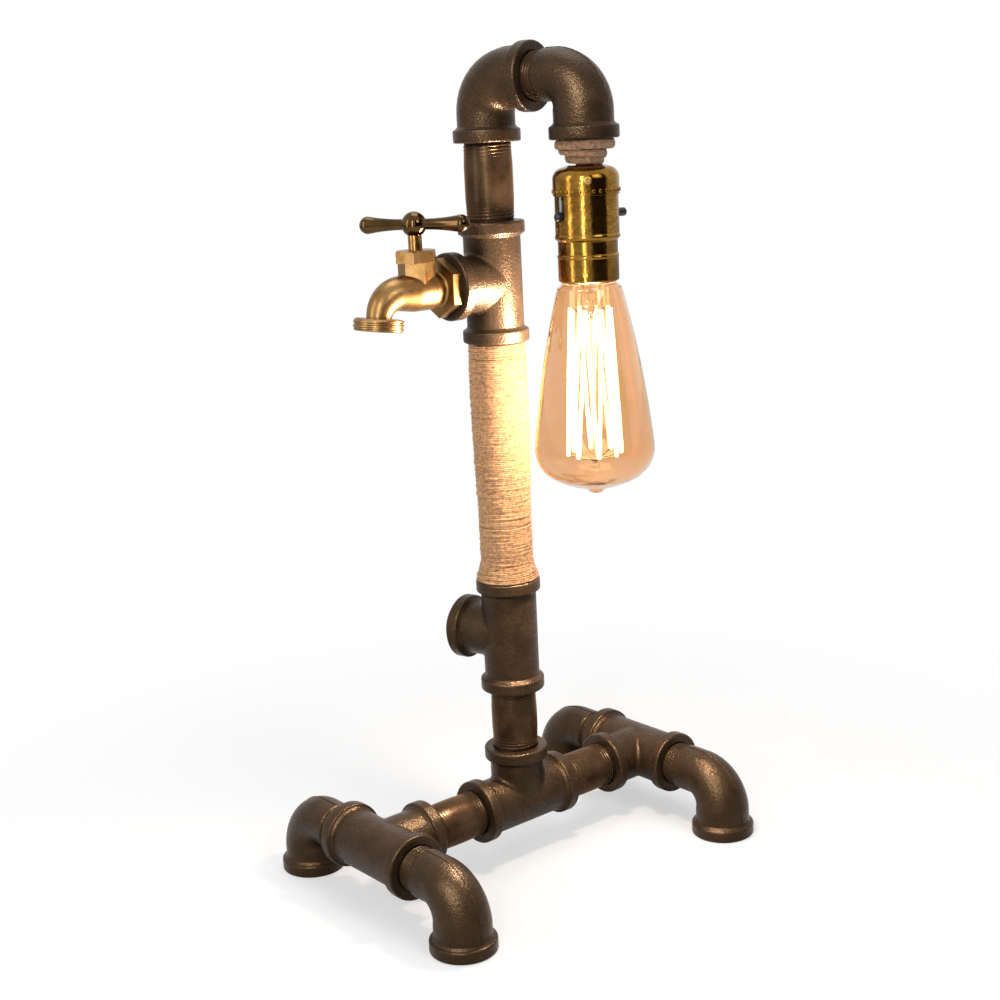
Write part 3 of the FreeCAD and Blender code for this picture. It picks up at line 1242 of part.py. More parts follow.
def glass_outline(body, inset):
    """Half outline of the glass: straight neck, throat, long flank, round shoulder and dome."""
    neck = size("glass_neck_radius") - inset
    points = [(0, -size("glass_neck_top")), (neck, -size("glass_neck_top")), (neck, -size("bulb_cap_end")),
              (size("glass_throat_radius") - inset, -size("glass_throat_height")),
              (size("glass_cone_radius") - inset, -size("glass_cone_height"))]
    flank = size("glass_flank_round") - inset
    shoulder = size("glass_shoulder_round") - inset
    bottom = size("glass_bottom") - inset
    hinge = (size("glass_shoulder_centre"), -size("glass_shoulder_height"))
    places = [Vector(as_size(x).number, as_size(z).number, 0) for x, z in points]
    middle = Vector(hinge[0].number, hinge[1].number, 0)
    centre = flank_centre(places[4], middle, flank.number, flank.number - shoulder.number)
    meet = centre + (middle - centre).normalize() * flank.number
    depth = bottom.number + middle.y
    dome = (middle.x ** 2 + depth ** 2 - shoulder.number ** 2) / (2 * (depth - shoulder.number))
    dome_centre = Vector(0, dome - bottom.number, 0)
    leave = dome_centre + (middle - dome_centre).normalize() * dome
    tip = Vector(0, -bottom.number, 0)
    sketch = new_sketch(body, "XZ_Plane")
    for start, finish in zip(places, places[1:]):
        sketch.addGeometry(Part.LineSegment(start, finish), False)
    for hub, radius, first, last in ((centre, flank.number, meet, places[4]), (middle, shoulder.number, leave, meet),
                                     (dome_centre, dome, tip, leave)):
        angles = [math.atan2(p.y - hub.y, p.x - hub.x) for p in (first, last)]
        sketch.addGeometry(Part.ArcOfCircle(Part.Circle(hub, Vector(0, 0, 1), radius), *angles), False)
    sketch.addGeometry(Part.LineSegment(tip, places[0]), False)
    for index, (x, z) in enumerate(points[1:]):
        fix_point(sketch, index, 2, x, z)
    for index in range(3):
        sketch.addConstraint(Sketcher.Constraint("Coincident", index, 2, index + 1, 1))
    sketch.addConstraint(Sketcher.Constraint("Coincident", 3, 2, 4, 2))
    sketch.addConstraint(Sketcher.Constraint("Tangent", 4, 1, 5, 2))
    sketch.addConstraint(Sketcher.Constraint("Tangent", 5, 1, 6, 2))
    for curve, radius in ((4, flank), (5, shoulder)):
        held = sketch.addConstraint(Sketcher.Constraint("Radius", curve, radius.number))
        bind(sketch, f"Constraints[{held}]", radius)
    fix_point(sketch, 5, 3, *hinge)
    sketch.addConstraint(Sketcher.Constraint("PointOnObject", 6, 3, -2))
    sketch.addConstraint(Sketcher.Constraint("Coincident", 6, 1, 7, 1))
    sketch.addConstraint(Sketcher.Constraint("Coincident", 7, 2, 0, 1))
    fix_point(sketch, 7, 1, 0, -bottom)
    fix_point(sketch, 7, 2, *points[0])
    return sketch


def flank_centre(start, middle, far, near):
    """Point at the given distances from start and middle, on the side of the axis."""
    apart = middle - start
    along = (far ** 2 - near ** 2 + apart.Length ** 2) / (2 * apart.Length)
    across = math.sqrt(far ** 2 - along ** 2)
    unit = Vector(apart).normalize()
    side = Vector(unit.y, -unit.x, 0)
    return start + unit * along + side * across


def build_glass():
    body = new_body("bulb_glass")
    turned(body, glass_outline(body, as_size(0)))
    wall = size("glass_wall")
    bottom = size("glass_bottom")
    pip = size("pip_radius")
    low = bottom + size("pip_height")
    nub = [(0, -bottom + wall / 2), (pip, -bottom + wall / 2), (pip / 2, -bottom - size("pip_height") / 2),
           (0, -low, pip / 2, 1)]
    turned(body, outline(body, "XZ_Plane", nub))
    turned(body, glass_outline(body, wall), remove=True)
    place_at_lamp(body)


def build_glass_stem():
    """Flared foot, tube, press, rod and the button at the end of the rod."""
    body = new_body("bulb_stem")
    foot = size("stem_foot_radius")
    foot_z = size("stem_foot_height_z")
    wall = size("glass_wall")
    tube = size("stem_tube_radius")
    flare = size("stem_flare_end")
    press = size("stem_press_height")
    rod = size("stem_rod_radius")
    button = size("button_height")
    ball = size("button_radius")
    sweep = size("stem_flare_round")
    shoulder_z = button - size("button_rise")
    inner = tube - wall
    corners = [(0, -press + tube), (inner, -press + tube), (inner, -flare), (foot - wall, -foot_z, sweep, 1),
               (foot, -foot_z), (tube, -flare - wall, sweep, -1), (tube, -press), (rod, -press - tube),
               (rod, -shoulder_z), (0, -button - ball, ball, 1)]
    turned(body, outline(body, "XZ_Plane", corners))
    place_at_lamp(body)


def hooks(label, hub_z, tip_radius, tip_z, yaw):
    """Support wires that radiate from a sleeve on the glass rod."""
    body = new_body(label)
    rod = size("stem_rod_radius")
    sleeve = size("hook_sleeve_radius")
    half = size("hook_sleeve_length") / 2
    ring(body, "XZ_Plane", sleeve, rod, -hub_z - half, -hub_z + half)
    wire = size("hook_width")
    start = (sleeve + rod) / 2
    path = new_sketch(body, "XZ_Plane")
    path.addGeometry(Part.LineSegment(Vector(start.number, -hub_z.number, 0),
                                      Vector(tip_radius.number, -tip_z.number, 0)), False)
    fix_point(path, 0, 1, start, -hub_z)
    fix_point(path, 0, 2, tip_radius, -tip_z)
    arm = piped(body, box_sketch(body, "YZ_Plane", wire, wire, lift=start, y=-hub_z), path)
    patterned(body, arm)
    place_at_lamp(body, yaw)


def patterned(body, *features):
    """Repeat features once for each loop of the filament, round the upright axis."""
    pattern = body.newObject("PartDesign::PolarPattern", f"{body.Name}_pattern")
    pattern.Originals = list(features)
    pattern.Axis = (next(item for item in body.Origin.OriginFeatures if item.Role == "Z_Axis"), [""])
    pattern.Angle = 360
    pattern.Occurrences = FILAMENT_LOOPS
    body.Tip = pattern


def build_filament():
    """Squirrel cage: loops that hang between the upper and the lower circle of hooks."""
    body = new_body("bulb_filament")
    top = size("cage_top")
    half_turn = as_size(180 / FILAMENT_LOOPS)
    inward = size("cage_top_radius") * cosine(half_turn)
    across = size("cage_top_radius") * sine(half_turn)
    aside = across - size("wire_spread")
    drop = size("cage_bottom") - top
    spread = size("cage_bottom_radius") - inward
    slope = root(drop * drop + spread * spread)
    tilt = Size(f"(atan({(spread / drop).formula}) / 1 deg)", math.degrees(math.atan(spread.number / drop.number)))
    bend = size("cage_bend")
    wire = size("filament_width")
    path = new_sketch(body, "YZ_Plane")
    path.AttachmentOffset = Placement(Vector(0, -top.number, inward.number), about((-1, 0, 0), tilt.number))
    bind(path, "AttachmentOffset.Base.y", -top)
    bind(path, "AttachmentOffset.Base.z", inward)
    bind(path, "AttachmentOffset.Rotation.Angle", tilt)
    centre = Vector(0, bend.number - slope.number, 0)
    away = math.hypot(aside.number, centre.y)
    angle = math.atan2(-centre.y, -aside.number) + math.acos(bend.number / away)
    left = centre + Vector(math.cos(angle), math.sin(angle), 0) * bend.number
    right = Vector(-left.x, left.y, 0)
    path.addGeometry(Part.LineSegment(Vector(-aside.number, 0, 0), left), False)
    path.addGeometry(Part.ArcOfCircle(Part.Circle(centre, Vector(0, 0, 1), bend.number), angle, 3 * math.pi - angle), False)
    path.addGeometry(Part.LineSegment(right, Vector(aside.number, 0, 0)), False)
    fix_point(path, 0, 1, -aside, 0)
    fix_point(path, 2, 2, aside, 0)
    fix_point(path, 1, 3, 0, bend - slope)
    held = path.addConstraint(Sketcher.Constraint("Radius", 1, bend.number))
    bind(path, f"Constraints[{held}]", bend)
    path.addConstraint(Sketcher.Constraint("Tangent", 0, 2, 1, 1))
    path.addConstraint(Sketcher.Constraint("Tangent", 1, 2, 2, 1))
    loop = piped(body, box_sketch(body, "XY_Plane", wire, wire, lift=-top, x=inward, y=-aside), path)
    knot = body.newObject("PartDesign::AdditivePrism", "knot")
    radius = size("knot_radius")
    knot.Polygon = 6
    bind(knot, "Circumradius", radius)
    bind(knot, "Height", radius * 2)
    base = -top - radius
    knot.Placement = Placement(Vector(inward.number, -across.number, base.number), Rotation())
    for axis, value in zip("xyz", (inward, -across, base)):
        bind(knot, f"Placement.Base.{axis}", value)
    patterned(body, loop, knot)
    place_at_lamp(body, size("cage_yaw"))


def root(value):
    return Size(f"sqrt({value.formula})", math.sqrt(value.number))


def build_cage():
    clear = size("hook_clear")
    half_turn = as_size(180 / FILAMENT_LOOPS)
    hooks("upper_hooks", size("upper_sleeve"), size("cage_top_radius") - clear, size("cage_top"),
          size("cage_yaw") + half_turn)
    hooks("lower_hooks", size("lower_sleeve"), size("cage_bottom_radius") + clear,
          size("cage_bottom") - size("cage_bend"), size("cage_yaw"))
    build_filament()


build_base()
build_column()
build_arm()
build_wrap()
build_grommet()
build_faucet_body()
build_bonnet()
build_valve()
build_handle()
build_arm_end()
build_cap()
build_shell()
build_switch()
build_lamp_thread()
build_bulb_cap()
build_glass()
build_glass_stem()
build_cage()

doc.recompute()
faults = [f"{item.Name}: {item.State}" for item in doc.Objects if {"Invalid", "Error"} & set(item.State)]
for piece in pieces:
    shape = piece.Shape
    if shape.isNull() or not shape.isValid() or not shape.Solids:
        faults.append(f"{piece.Label}: bad shape")
if faults:
    raise RuntimeError("; ".join(faults))

os.makedirs("parts", exist_ok=True)
for piece in pieces:
    piece.Shape.exportStep(f"parts/{piece.Label}.step")
print(f"{len(pieces)} pieces written")
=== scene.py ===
# %% [markdown]
# # A table lamp made of iron pipe fittings
# The lamp is a kit of plumbing parts: malleable iron tees and elbows, short threaded pipes, a brass garden faucet,
# a brass lampholder and a filament bulb. Those hard shapes come from the CAD frame, already in place. Blender adds
# what CAD leaves out: the threads, the wound jute, the lit filament, the finishes, the light and the camera.

# %% Load the frame, with helpers for its parts
import json
import math
import random

import bpy
from mathutils import Matrix, Vector


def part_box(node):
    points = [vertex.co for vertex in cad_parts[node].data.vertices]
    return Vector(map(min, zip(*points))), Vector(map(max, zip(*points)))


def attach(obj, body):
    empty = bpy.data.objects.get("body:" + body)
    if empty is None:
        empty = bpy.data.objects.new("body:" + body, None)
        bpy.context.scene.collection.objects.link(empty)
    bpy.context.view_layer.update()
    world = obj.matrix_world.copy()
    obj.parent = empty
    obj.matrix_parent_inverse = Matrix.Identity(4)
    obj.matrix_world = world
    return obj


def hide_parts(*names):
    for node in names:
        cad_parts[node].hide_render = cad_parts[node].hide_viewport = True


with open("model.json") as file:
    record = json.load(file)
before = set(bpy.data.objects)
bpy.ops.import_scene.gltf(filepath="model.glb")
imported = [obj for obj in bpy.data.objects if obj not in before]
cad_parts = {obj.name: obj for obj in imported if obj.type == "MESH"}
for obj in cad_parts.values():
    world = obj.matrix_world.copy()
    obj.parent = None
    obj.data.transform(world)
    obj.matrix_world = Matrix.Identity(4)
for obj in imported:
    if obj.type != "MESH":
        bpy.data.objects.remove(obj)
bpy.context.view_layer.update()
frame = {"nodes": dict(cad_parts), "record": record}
MM = 0.001

# %% [markdown]
# Every operator acts on all that is selected, and the frame arrives selected. So each step starts by clearing the
# selection and picking the one object that it works on. A finished piece keeps its place in its own mesh, with the
# object left at the origin, so its turn and its shift are applied at the end.

# %% Helpers for picking, placing and finishing a piece
def pick(piece):
    bpy.ops.object.select_all(action="DESELECT")
    piece.select_set(True)
    bpy.context.view_layer.objects.active = piece


def edit_all():
    """Open the active piece for editing, with all of it selected."""
    bpy.ops.object.mode_set(mode="EDIT")
    bpy.ops.mesh.select_all(action="SELECT")


def settle(piece, start, along):
    """Stand a piece that was made on the Z axis at a start point, pointing along a direction, and apply that."""
    turn = Vector((0, 0, 1)).rotation_difference(Vector(along)).to_matrix().to_4x4()
    piece.matrix_world = Matrix.Translation(Vector(start) * MM) @ turn
    pick(piece)
    bpy.ops.object.transform_apply(location=True, rotation=True, scale=True)


def finish_piece(piece, name, body, material):
    """Name a piece, give it its finish and tell the frame what it rides on."""
    piece.name = name
    piece.data.name = name
    piece.data.materials.clear()
    piece.data.materials.append(material)
    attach(piece, body)
    print(name, "triangles", sum(len(face.vertices) - 2 for face in piece.data.polygons))


# %% [markdown]
# A finish is a material with a few nodes. Colours are written as sRGB hex, the way a colour picker shows them, and
# turned into the linear values that a shader needs. One small function adds any node, with its settings and its
# links, so that each finish below reads as a short recipe.

# %% Helpers for colours and nodes
def linear(colour):
    """sRGB hex to linear RGBA."""
    parts = [int(colour[start:start + 2], 16) / 255 for start in (1, 3, 5)]
    return tuple(part / 12.92 if part <= 0.04045 else ((part + 0.055) / 1.055) ** 2.4 for part in parts) + (1.0,)


def add_node(owner, kind, settings=None, links=None):
    """Add a node, set its inputs or properties, and link its inputs to other nodes' outputs."""
    node = owner.node_tree.nodes.new(kind)
    for name, value in (settings or {}).items():
        if name == "stops":
            ramp = node.color_ramp
            while len(ramp.elements) < len(value):
                ramp.elements.new(0.5)
            for element, (place, colour) in zip(ramp.elements, value):
                element.position = place
                element.color = linear(colour)
        elif isinstance(name, int) or name in node.inputs:
            node.inputs[name].default_value = value
        else:
            setattr(node, name, value)
    for name, output in (links or {}).items():
        owner.node_tree.links.new(output, node.inputs[name])
    return node


def new_finish(name, **settings):
    """A material and its shader. Settings that are the same all over the surface go straight on the shader."""
    material = bpy.data.materials.new(name)
    material.use_nodes = True
    shader = material.node_tree.nodes["Principled BSDF"]
    for socket, value in settings.items():
        shader.inputs[socket.replace("_", " ")].default_value = value
    return material, shader


def link(material, output, target):
    material.node_tree.links.new(output, target)


def per_mm(size):
    """Noise scale for a pattern whose features are about this many millimetres apart."""
    return 1 / (size * MM)


# %% [markdown]
# ## Blackened malleable iron
# The tees, elbows and street elbows are sand cast and oiled nearly black. The eye gets a brown-black skin with a
# sandy grain, and where light strikes it the grain breaks the highlight into specks. Two noises make it: a coarse
# one that drifts between two browns and a fine one that sets height, gloss and shade of each grain. Oil and scale
# cover the metal, so hardly any of it is metallic. Casting leaves no sharp edge, so the shader rounds each edge a
# little, which draws a thin light line along the beads. The bare metals use the same recipe with other numbers.

# %% Cast iron finish
def cast_skin(name, dark, light, gloss_range, grain, height, shade_range=(0.72, 1.12), edge=0.2, **settings):
    """A skin with drifting colour, uneven gloss, rounded edges and a grain. Grain, height and edge are in mm."""
    material, shader = new_finish(name, **{"Metallic": 1.0, **settings})
    place = add_node(material, "ShaderNodeTexCoord")
    drift = add_node(material, "ShaderNodeTexNoise", {"Scale": per_mm(11), "Detail": 5.0, "Roughness": 0.6},
                     {"Vector": place.outputs["Object"]})
    fine = add_node(material, "ShaderNodeTexNoise", {"Scale": per_mm(grain), "Detail": 3.0, "Roughness": 0.65},
                    {"Vector": place.outputs["Object"]})
    colour = add_node(material, "ShaderNodeValToRGB", {"stops": [(0.3, dark), (0.72, light)]},
                      {"Fac": drift.outputs["Fac"]})
    speckle = add_node(material, "ShaderNodeMapRange", {1: 0.3, 2: 0.7, 3: shade_range[0], 4: shade_range[1]},
                       {"Value": fine.outputs["Fac"]})
    shade = add_node(material, "ShaderNodeMix", {"data_type": "RGBA", "blend_type": "MULTIPLY", 0: 1.0},
                     {6: colour.outputs["Color"], 7: speckle.outputs["Result"]})
    gloss = add_node(material, "ShaderNodeMapRange", {1: 0.3, 2: 0.7, 3: gloss_range[1], 4: gloss_range[0]},
                     {"Value": fine.outputs["Fac"]})
    rounded = add_node(material, "ShaderNodeBevel", {"samples": 4, "Radius": edge * MM})
    bump = add_node(material, "ShaderNodeBump", {"Strength": 0.6, "Distance": height * MM},
                    {"Height": fine.outputs["Fac"], "Normal": rounded.outputs["Normal"]})
    link(material, shade.outputs[2], shader.inputs["Base Color"])
    link(material, gloss.outputs["Result"], shader.inputs["Roughness"])
    link(material, bump.outputs["Normal"], shader.inputs["Normal"])
    return material


OILED = linear("#ffcf9c")
cast_iron = cast_skin("blackened_cast_iron", "#120b06", "#1e150d", (0.2, 0.4), 1.3, 0.6, (0.6, 1.4), 0.5,
                      Metallic=0.1, Specular_IOR_Level=0.23, Specular_Tint=OILED)
steel_pipe = cast_skin("oiled_steel_pipe", "#1a120a", "#35261a", (0.22, 0.34), 2.2, 0.05, (0.85, 1.12),
                       Metallic=0.6, Specular_IOR_Level=0.35, Specular_Tint=OILED)
screw_steel = cast_skin("zinc_screw_steel", "#7d776c", "#b5aea0", (0.2, 0.4), 0.8, 0.02)
support_wire = cast_skin("nickel_support_wire", "#4a443c", "#6f675c", (0.2, 0.35), 0.8, 0.01)
cap_metal = cast_skin("plated_bulb_cap", "#8c8578", "#c9c1b2", (0.18, 0.35), 0.9, 0.02)
print(cast_iron.name, steel_pipe.name, screw_steel.name)

# %% [markdown]
# ## Brass
# The faucet is cast and brushed to a satin, so its highlights are broad. The lampholder is spun sheet with an aged,
# darker and glossier skin. The handle is cast, polished and plated dark. All are metals, so their colour lives in the
# reflection. The old skin is drawn by a wider swing between two browns of the same family.

# %% Brass finishes
faucet_brass = cast_skin("satin_faucet_brass", "#7d5930", "#9f7d50", (0.28, 0.4), 1.2, 0.05, (0.86, 1.08))
valve_brass = cast_skin("turned_valve_brass", "#8a6334", "#b88f58", (0.18, 0.28), 1.2, 0.02, (0.9, 1.06))
holder_brass = cast_skin("aged_lampholder_brass", "#74501a", "#a37a36", (0.12, 0.22), 5.5, 0.3, (0.88, 1.06), 0.4)
contact_brass = cast_skin("spring_contact_brass", "#b98a3e", "#dcb668", (0.2, 0.3), 1.0, 0.02)
handle_metal = cast_skin("dark_plated_handle", "#43331f", "#634a2c", (0.06, 0.12), 2.0, 0.01, (0.92, 1.05))
print(faucet_brass.name, holder_brass.name, handle_metal.name)

# %% [markdown]
# ## Rubber, plastic, ceramic and fibre
# The small insulating pieces aren't metal. A plain recipe serves them all: a base colour with a little mottling, a
# fine grain in the bump and a gloss that fits the stuff, from dull rubber to glazed porcelain.

# %% Moulded finishes
def moulded_skin(name, dark, light, roughness, grain, height):
    material, shader = new_finish(name, Metallic=0.0, Roughness=roughness)
    place = add_node(material, "ShaderNodeTexCoord")
    fine = add_node(material, "ShaderNodeTexNoise", {"Scale": per_mm(grain), "Detail": 3.0},
                    {"Vector": place.outputs["Object"]})
    colour = add_node(material, "ShaderNodeValToRGB", {"stops": [(0.35, dark), (0.65, light)]},
                      {"Fac": fine.outputs["Fac"]})
    bump = add_node(material, "ShaderNodeBump", {"Strength": 0.5, "Distance": height * MM},
                    {"Height": fine.outputs["Fac"]})
    link(material, colour.outputs["Color"], shader.inputs["Base Color"])
    link(material, bump.outputs["Normal"], shader.inputs["Normal"])
    return material


rubber = moulded_skin("black_cord_rubber", "#151413", "#22201e", 0.62, 1.1, 0.05)
black_plastic = moulded_skin("black_switch_knob", "#100f0f", "#1c1a19", 0.28, 1.8, 0.02)
porcelain = moulded_skin("glazed_porcelain", "#e6e0d2", "#f1ece0", 0.25, 3.0, 0.02)
fibre_washer = moulded_skin("pressed_fibre_washer", "#6a3324", "#874531", 0.7, 0.7, 0.06)
cap_glass = moulded_skin("black_cap_glass", "#141016", "#241c26", 0.15, 2.0, 0.01)
print(rubber.name, black_plastic.name, porcelain.name)

# %% [markdown]
# ## Jute twine
# Jute is plant fibre, twisted, and waxed when it is sold as twine. Its colour wanders along the strand between straw
# and brown. The mesh carries the strand's uneven thickness, so the material only adds the fibres: a noise stretched
# along the strand, taken from the UV map, whose second coordinate runs along the twine. Tufts across the strands come
# from a noise in the object's own space. Wax leaves a gloss that draws a pale streak, and loose fibres a little sheen.

# %% Twine finish
def twine_finish(name, dark, light, strand_length, girth, fuzz):
    """Jute on a strand of the given length, girth and fibre height in millimetres."""
    material, shader = new_finish(name, Metallic=0.0, Roughness=0.42, Specular_IOR_Level=0.8,
                                  Sheen_Weight=0.1, Sheen_Roughness=0.5)
    shader.inputs["Sheen Tint"].default_value = linear("#f6dcb4")
    place = add_node(material, "ShaderNodeTexCoord")
    unrolled = add_node(material, "ShaderNodeMapping", {"Scale": (girth, strand_length, 1.0)},
                        {"Vector": place.outputs["UV"]})
    drift = add_node(material, "ShaderNodeTexNoise", {"Scale": 0.05, "Detail": 3.0},
                     {"Vector": unrolled.outputs["Vector"]})
    along = add_node(material, "ShaderNodeMapping", {"Scale": (4.0, 0.55, 1.0), "Rotation": (0.0, 0.0, 0.5)},
                     {"Vector": unrolled.outputs["Vector"]})
    fibres = add_node(material, "ShaderNodeTexNoise", {"Scale": 1.0, "Detail": 4.0, "Roughness": 0.7},
                      {"Vector": along.outputs["Vector"]})
    tufts = add_node(material, "ShaderNodeTexNoise", {"Scale": per_mm(1.8), "Detail": 3.0, "Roughness": 0.6},
                     {"Vector": place.outputs["Object"]})
    both = add_node(material, "ShaderNodeMath", {"operation": "MULTIPLY_ADD", 1: 0.45},
                    {0: drift.outputs["Fac"], 2: fibres.outputs["Fac"]})
    mottled = add_node(material, "ShaderNodeMath", {"operation": "ADD"},
                       {0: both.outputs["Value"], 1: tufts.outputs["Fac"]})
    halved = add_node(material, "ShaderNodeMath", {"operation": "MULTIPLY", 1: 0.5}, {0: mottled.outputs["Value"]})
    colour = add_node(material, "ShaderNodeValToRGB", {"stops": [(0.49, dark), (0.69, light)]},
                      {"Fac": halved.outputs["Value"]})
    bump = add_node(material, "ShaderNodeBump", {"Strength": 0.9, "Distance": fuzz * MM},
                    {"Height": halved.outputs["Value"]})
    link(material, colour.outputs["Color"], shader.inputs["Base Color"])
    link(material, bump.outputs["Normal"], shader.inputs["Normal"])
    return material


JUTE_SHADES = ("#6b3a14", "#dba56c")
plain_jute = twine_finish("jute_sleeve", *JUTE_SHADES, 1000.0, 4.0, 0.9)
print(plain_jute.name)

# %% [markdown]
# ## Glass
# The bulb's glass has a thin amber tint. Light crosses two walls on its way through, so each wall carries only part
# of the tint. The stem inside is clear. The glass is a real shell with thickness, so plain glass IOR is right.

# %% Glass finishes
def glass_finish(name, tint, roughness):
    material, shader = new_finish(name, Metallic=0.0, Roughness=roughness, IOR=1.5, Transmission_Weight=1.0)
    place = add_node(material, "ShaderNodeTexCoord")
    ripple = add_node(material, "ShaderNodeTexNoise", {"Scale": per_mm(26), "Detail": 1.0},
                      {"Vector": place.outputs["Object"]})
    colour = add_node(material, "ShaderNodeValToRGB", {"stops": [(0.3, tint[0]), (0.7, tint[1])]},
                      {"Fac": ripple.outputs["Fac"]})
    bump = add_node(material, "ShaderNodeBump", {"Strength": 0.1, "Distance": 0.2 * MM},
                    {"Height": ripple.outputs["Fac"]})
    link(material, colour.outputs["Color"], shader.inputs["Base Color"])
    link(material, bump.outputs["Normal"], shader.inputs["Normal"])
    return material


bulb_glass = glass_finish("amber_bulb_glass", ("#efcba6", "#f3d4b2"), 0.0)
stem_glass = glass_finish("clear_stem_glass", ("#eef0ea", "#f8f8f2"), 0.02)
print(bulb_glass.name, stem_glass.name)

# %% [markdown]
# ## The lit filament
# A carbon filament at work glows orange-white. An emission with a slightly warm colour gives that, and where it is
# far brighter than the paper-white background the eye sees plain white with warm edges.

# %% Filament finish
glow, glow_shader = new_finish("glowing_filament", Metallic=0.0, Roughness=0.6, Emission_Strength=9.0)
glow_place = add_node(glow, "ShaderNodeTexCoord")
glow_noise = add_node(glow, "ShaderNodeTexNoise", {"Scale": per_mm(9), "Detail": 1.0},
                      {"Vector": glow_place.outputs["Object"]})
glow_colour = add_node(glow, "ShaderNodeValToRGB", {"stops": [(0.3, "#ffcf8a"), (0.7, "#fff0d2")]},
                       {"Fac": glow_noise.outputs["Fac"]})
link(glow, glow_colour.outputs["Color"], glow_shader.inputs["Emission Color"])
link(glow, glow_colour.outputs["Color"], glow_shader.inputs["Base Color"])
print(glow.name, "strength", glow_shader.inputs["Emission Strength"].default_value)

# %% [markdown]
# ## Dressing the frame
# Each CAD node already says what it is made of, by the name of a material slot. One table turns slots into the
# finishes above, and a loop dresses every node. The cap's set screw is dressed apart, in brass like the cap it sits in.

# %% Give every node its finish
finishes = {
    "cast_iron": cast_iron, "steel_pipe": steel_pipe, "twine": plain_jute, "rubber": rubber,
    "faucet_brass": faucet_brass, "valve_brass": valve_brass, "handle_metal": handle_metal,
    "holder_brass": holder_brass, "contact_brass": contact_brass, "black_plastic": black_plastic,
    "fibre": porcelain, "screw_steel": screw_steel, "cap_metal": cap_metal, "cap_glass": cap_glass,
    "bulb_glass": bulb_glass, "stem_glass": stem_glass, "filament": glow, "support_wire": support_wire,
    "fibre_washer": fibre_washer,
}
for part in frame["record"]["subparts"]:
    node = frame["nodes"][part["node"]]
    node.data.materials.clear()
    node.data.materials.append(finishes[part["material_slot"]])
frame["nodes"]["cap_set_screw"].data.materials[0] = contact_brass

# %% [markdown]
# ## Driving sizes
# The lamp is stacked from fittings of one size, so most places follow from that size and from the bare pipe that shows
# between two fittings. All are in millimetres, and heights are counted from the floor.

# %% Sizes of the stack
REACH = 33.3  # from a fitting's centre to its face
BASE_GAP, LOWER_GAP, COLUMN_GAP, UPPER_GAP = 34.5, 36.0, 137.2, 42.0
LOWER_TEE_Z = 3 * REACH + LOWER_GAP
UPPER_TEE_Z = LOWER_TEE_Z + 2 * REACH + COLUMN_GAP
ELBOW_Z = UPPER_TEE_Z + 2 * REACH + UPPER_GAP
ARM_FACE = ELBOW_Z - REACH
ARM_YAW, ARM_LENGTH = math.radians(12.5), 64.0
ARM_WAY = Vector((math.sin(ARM_YAW), -math.cos(ARM_YAW), 0.0))
LAMP_X, LAMP_Y = ARM_LENGTH * ARM_WAY.x, ARM_LENGTH * ARM_WAY.y
STREET_BODY = 29.6  # from a street elbow's corner to where its leg begins
FOOT_X, FOOT_Y = 2 * REACH + BASE_GAP, 70.9
FOOT_LEG = FOOT_Y - STREET_BODY
FEET = [(f"{end}_{side}", sign, way) for end, sign in (("left", -1), ("right", 1))
        for side, way in (("front", -1), ("back", 1))]
print("heights", [round(height, 1) for height in (LOWER_TEE_Z, UPPER_TEE_Z, ELBOW_Z, ARM_FACE)])

# %% [markdown]
# ## Pipe threads
# Where a pipe isn't screwed home, part of its thread stays open beside the bead. A real thread is cut with a die and
# runs 14 turns to the inch on a cone, so it fades into the pipe. Here one profile, a flattened triangle as wide as
# one turn, is wound round the axis by the Screw modifier, which advances it by one pitch each turn. The ridges lie on
# a cylinder and the pipe is the cone, so they sink into it one after the other, as they do on iron.

# %% A wound thread
PIPE_PITCH = 25.4 / 14
CREST_SHARE = 0.35  # width of a ridge at its crest, of its width at the core
THREAD_STEPS = 56
SMOOTH = math.radians(32)


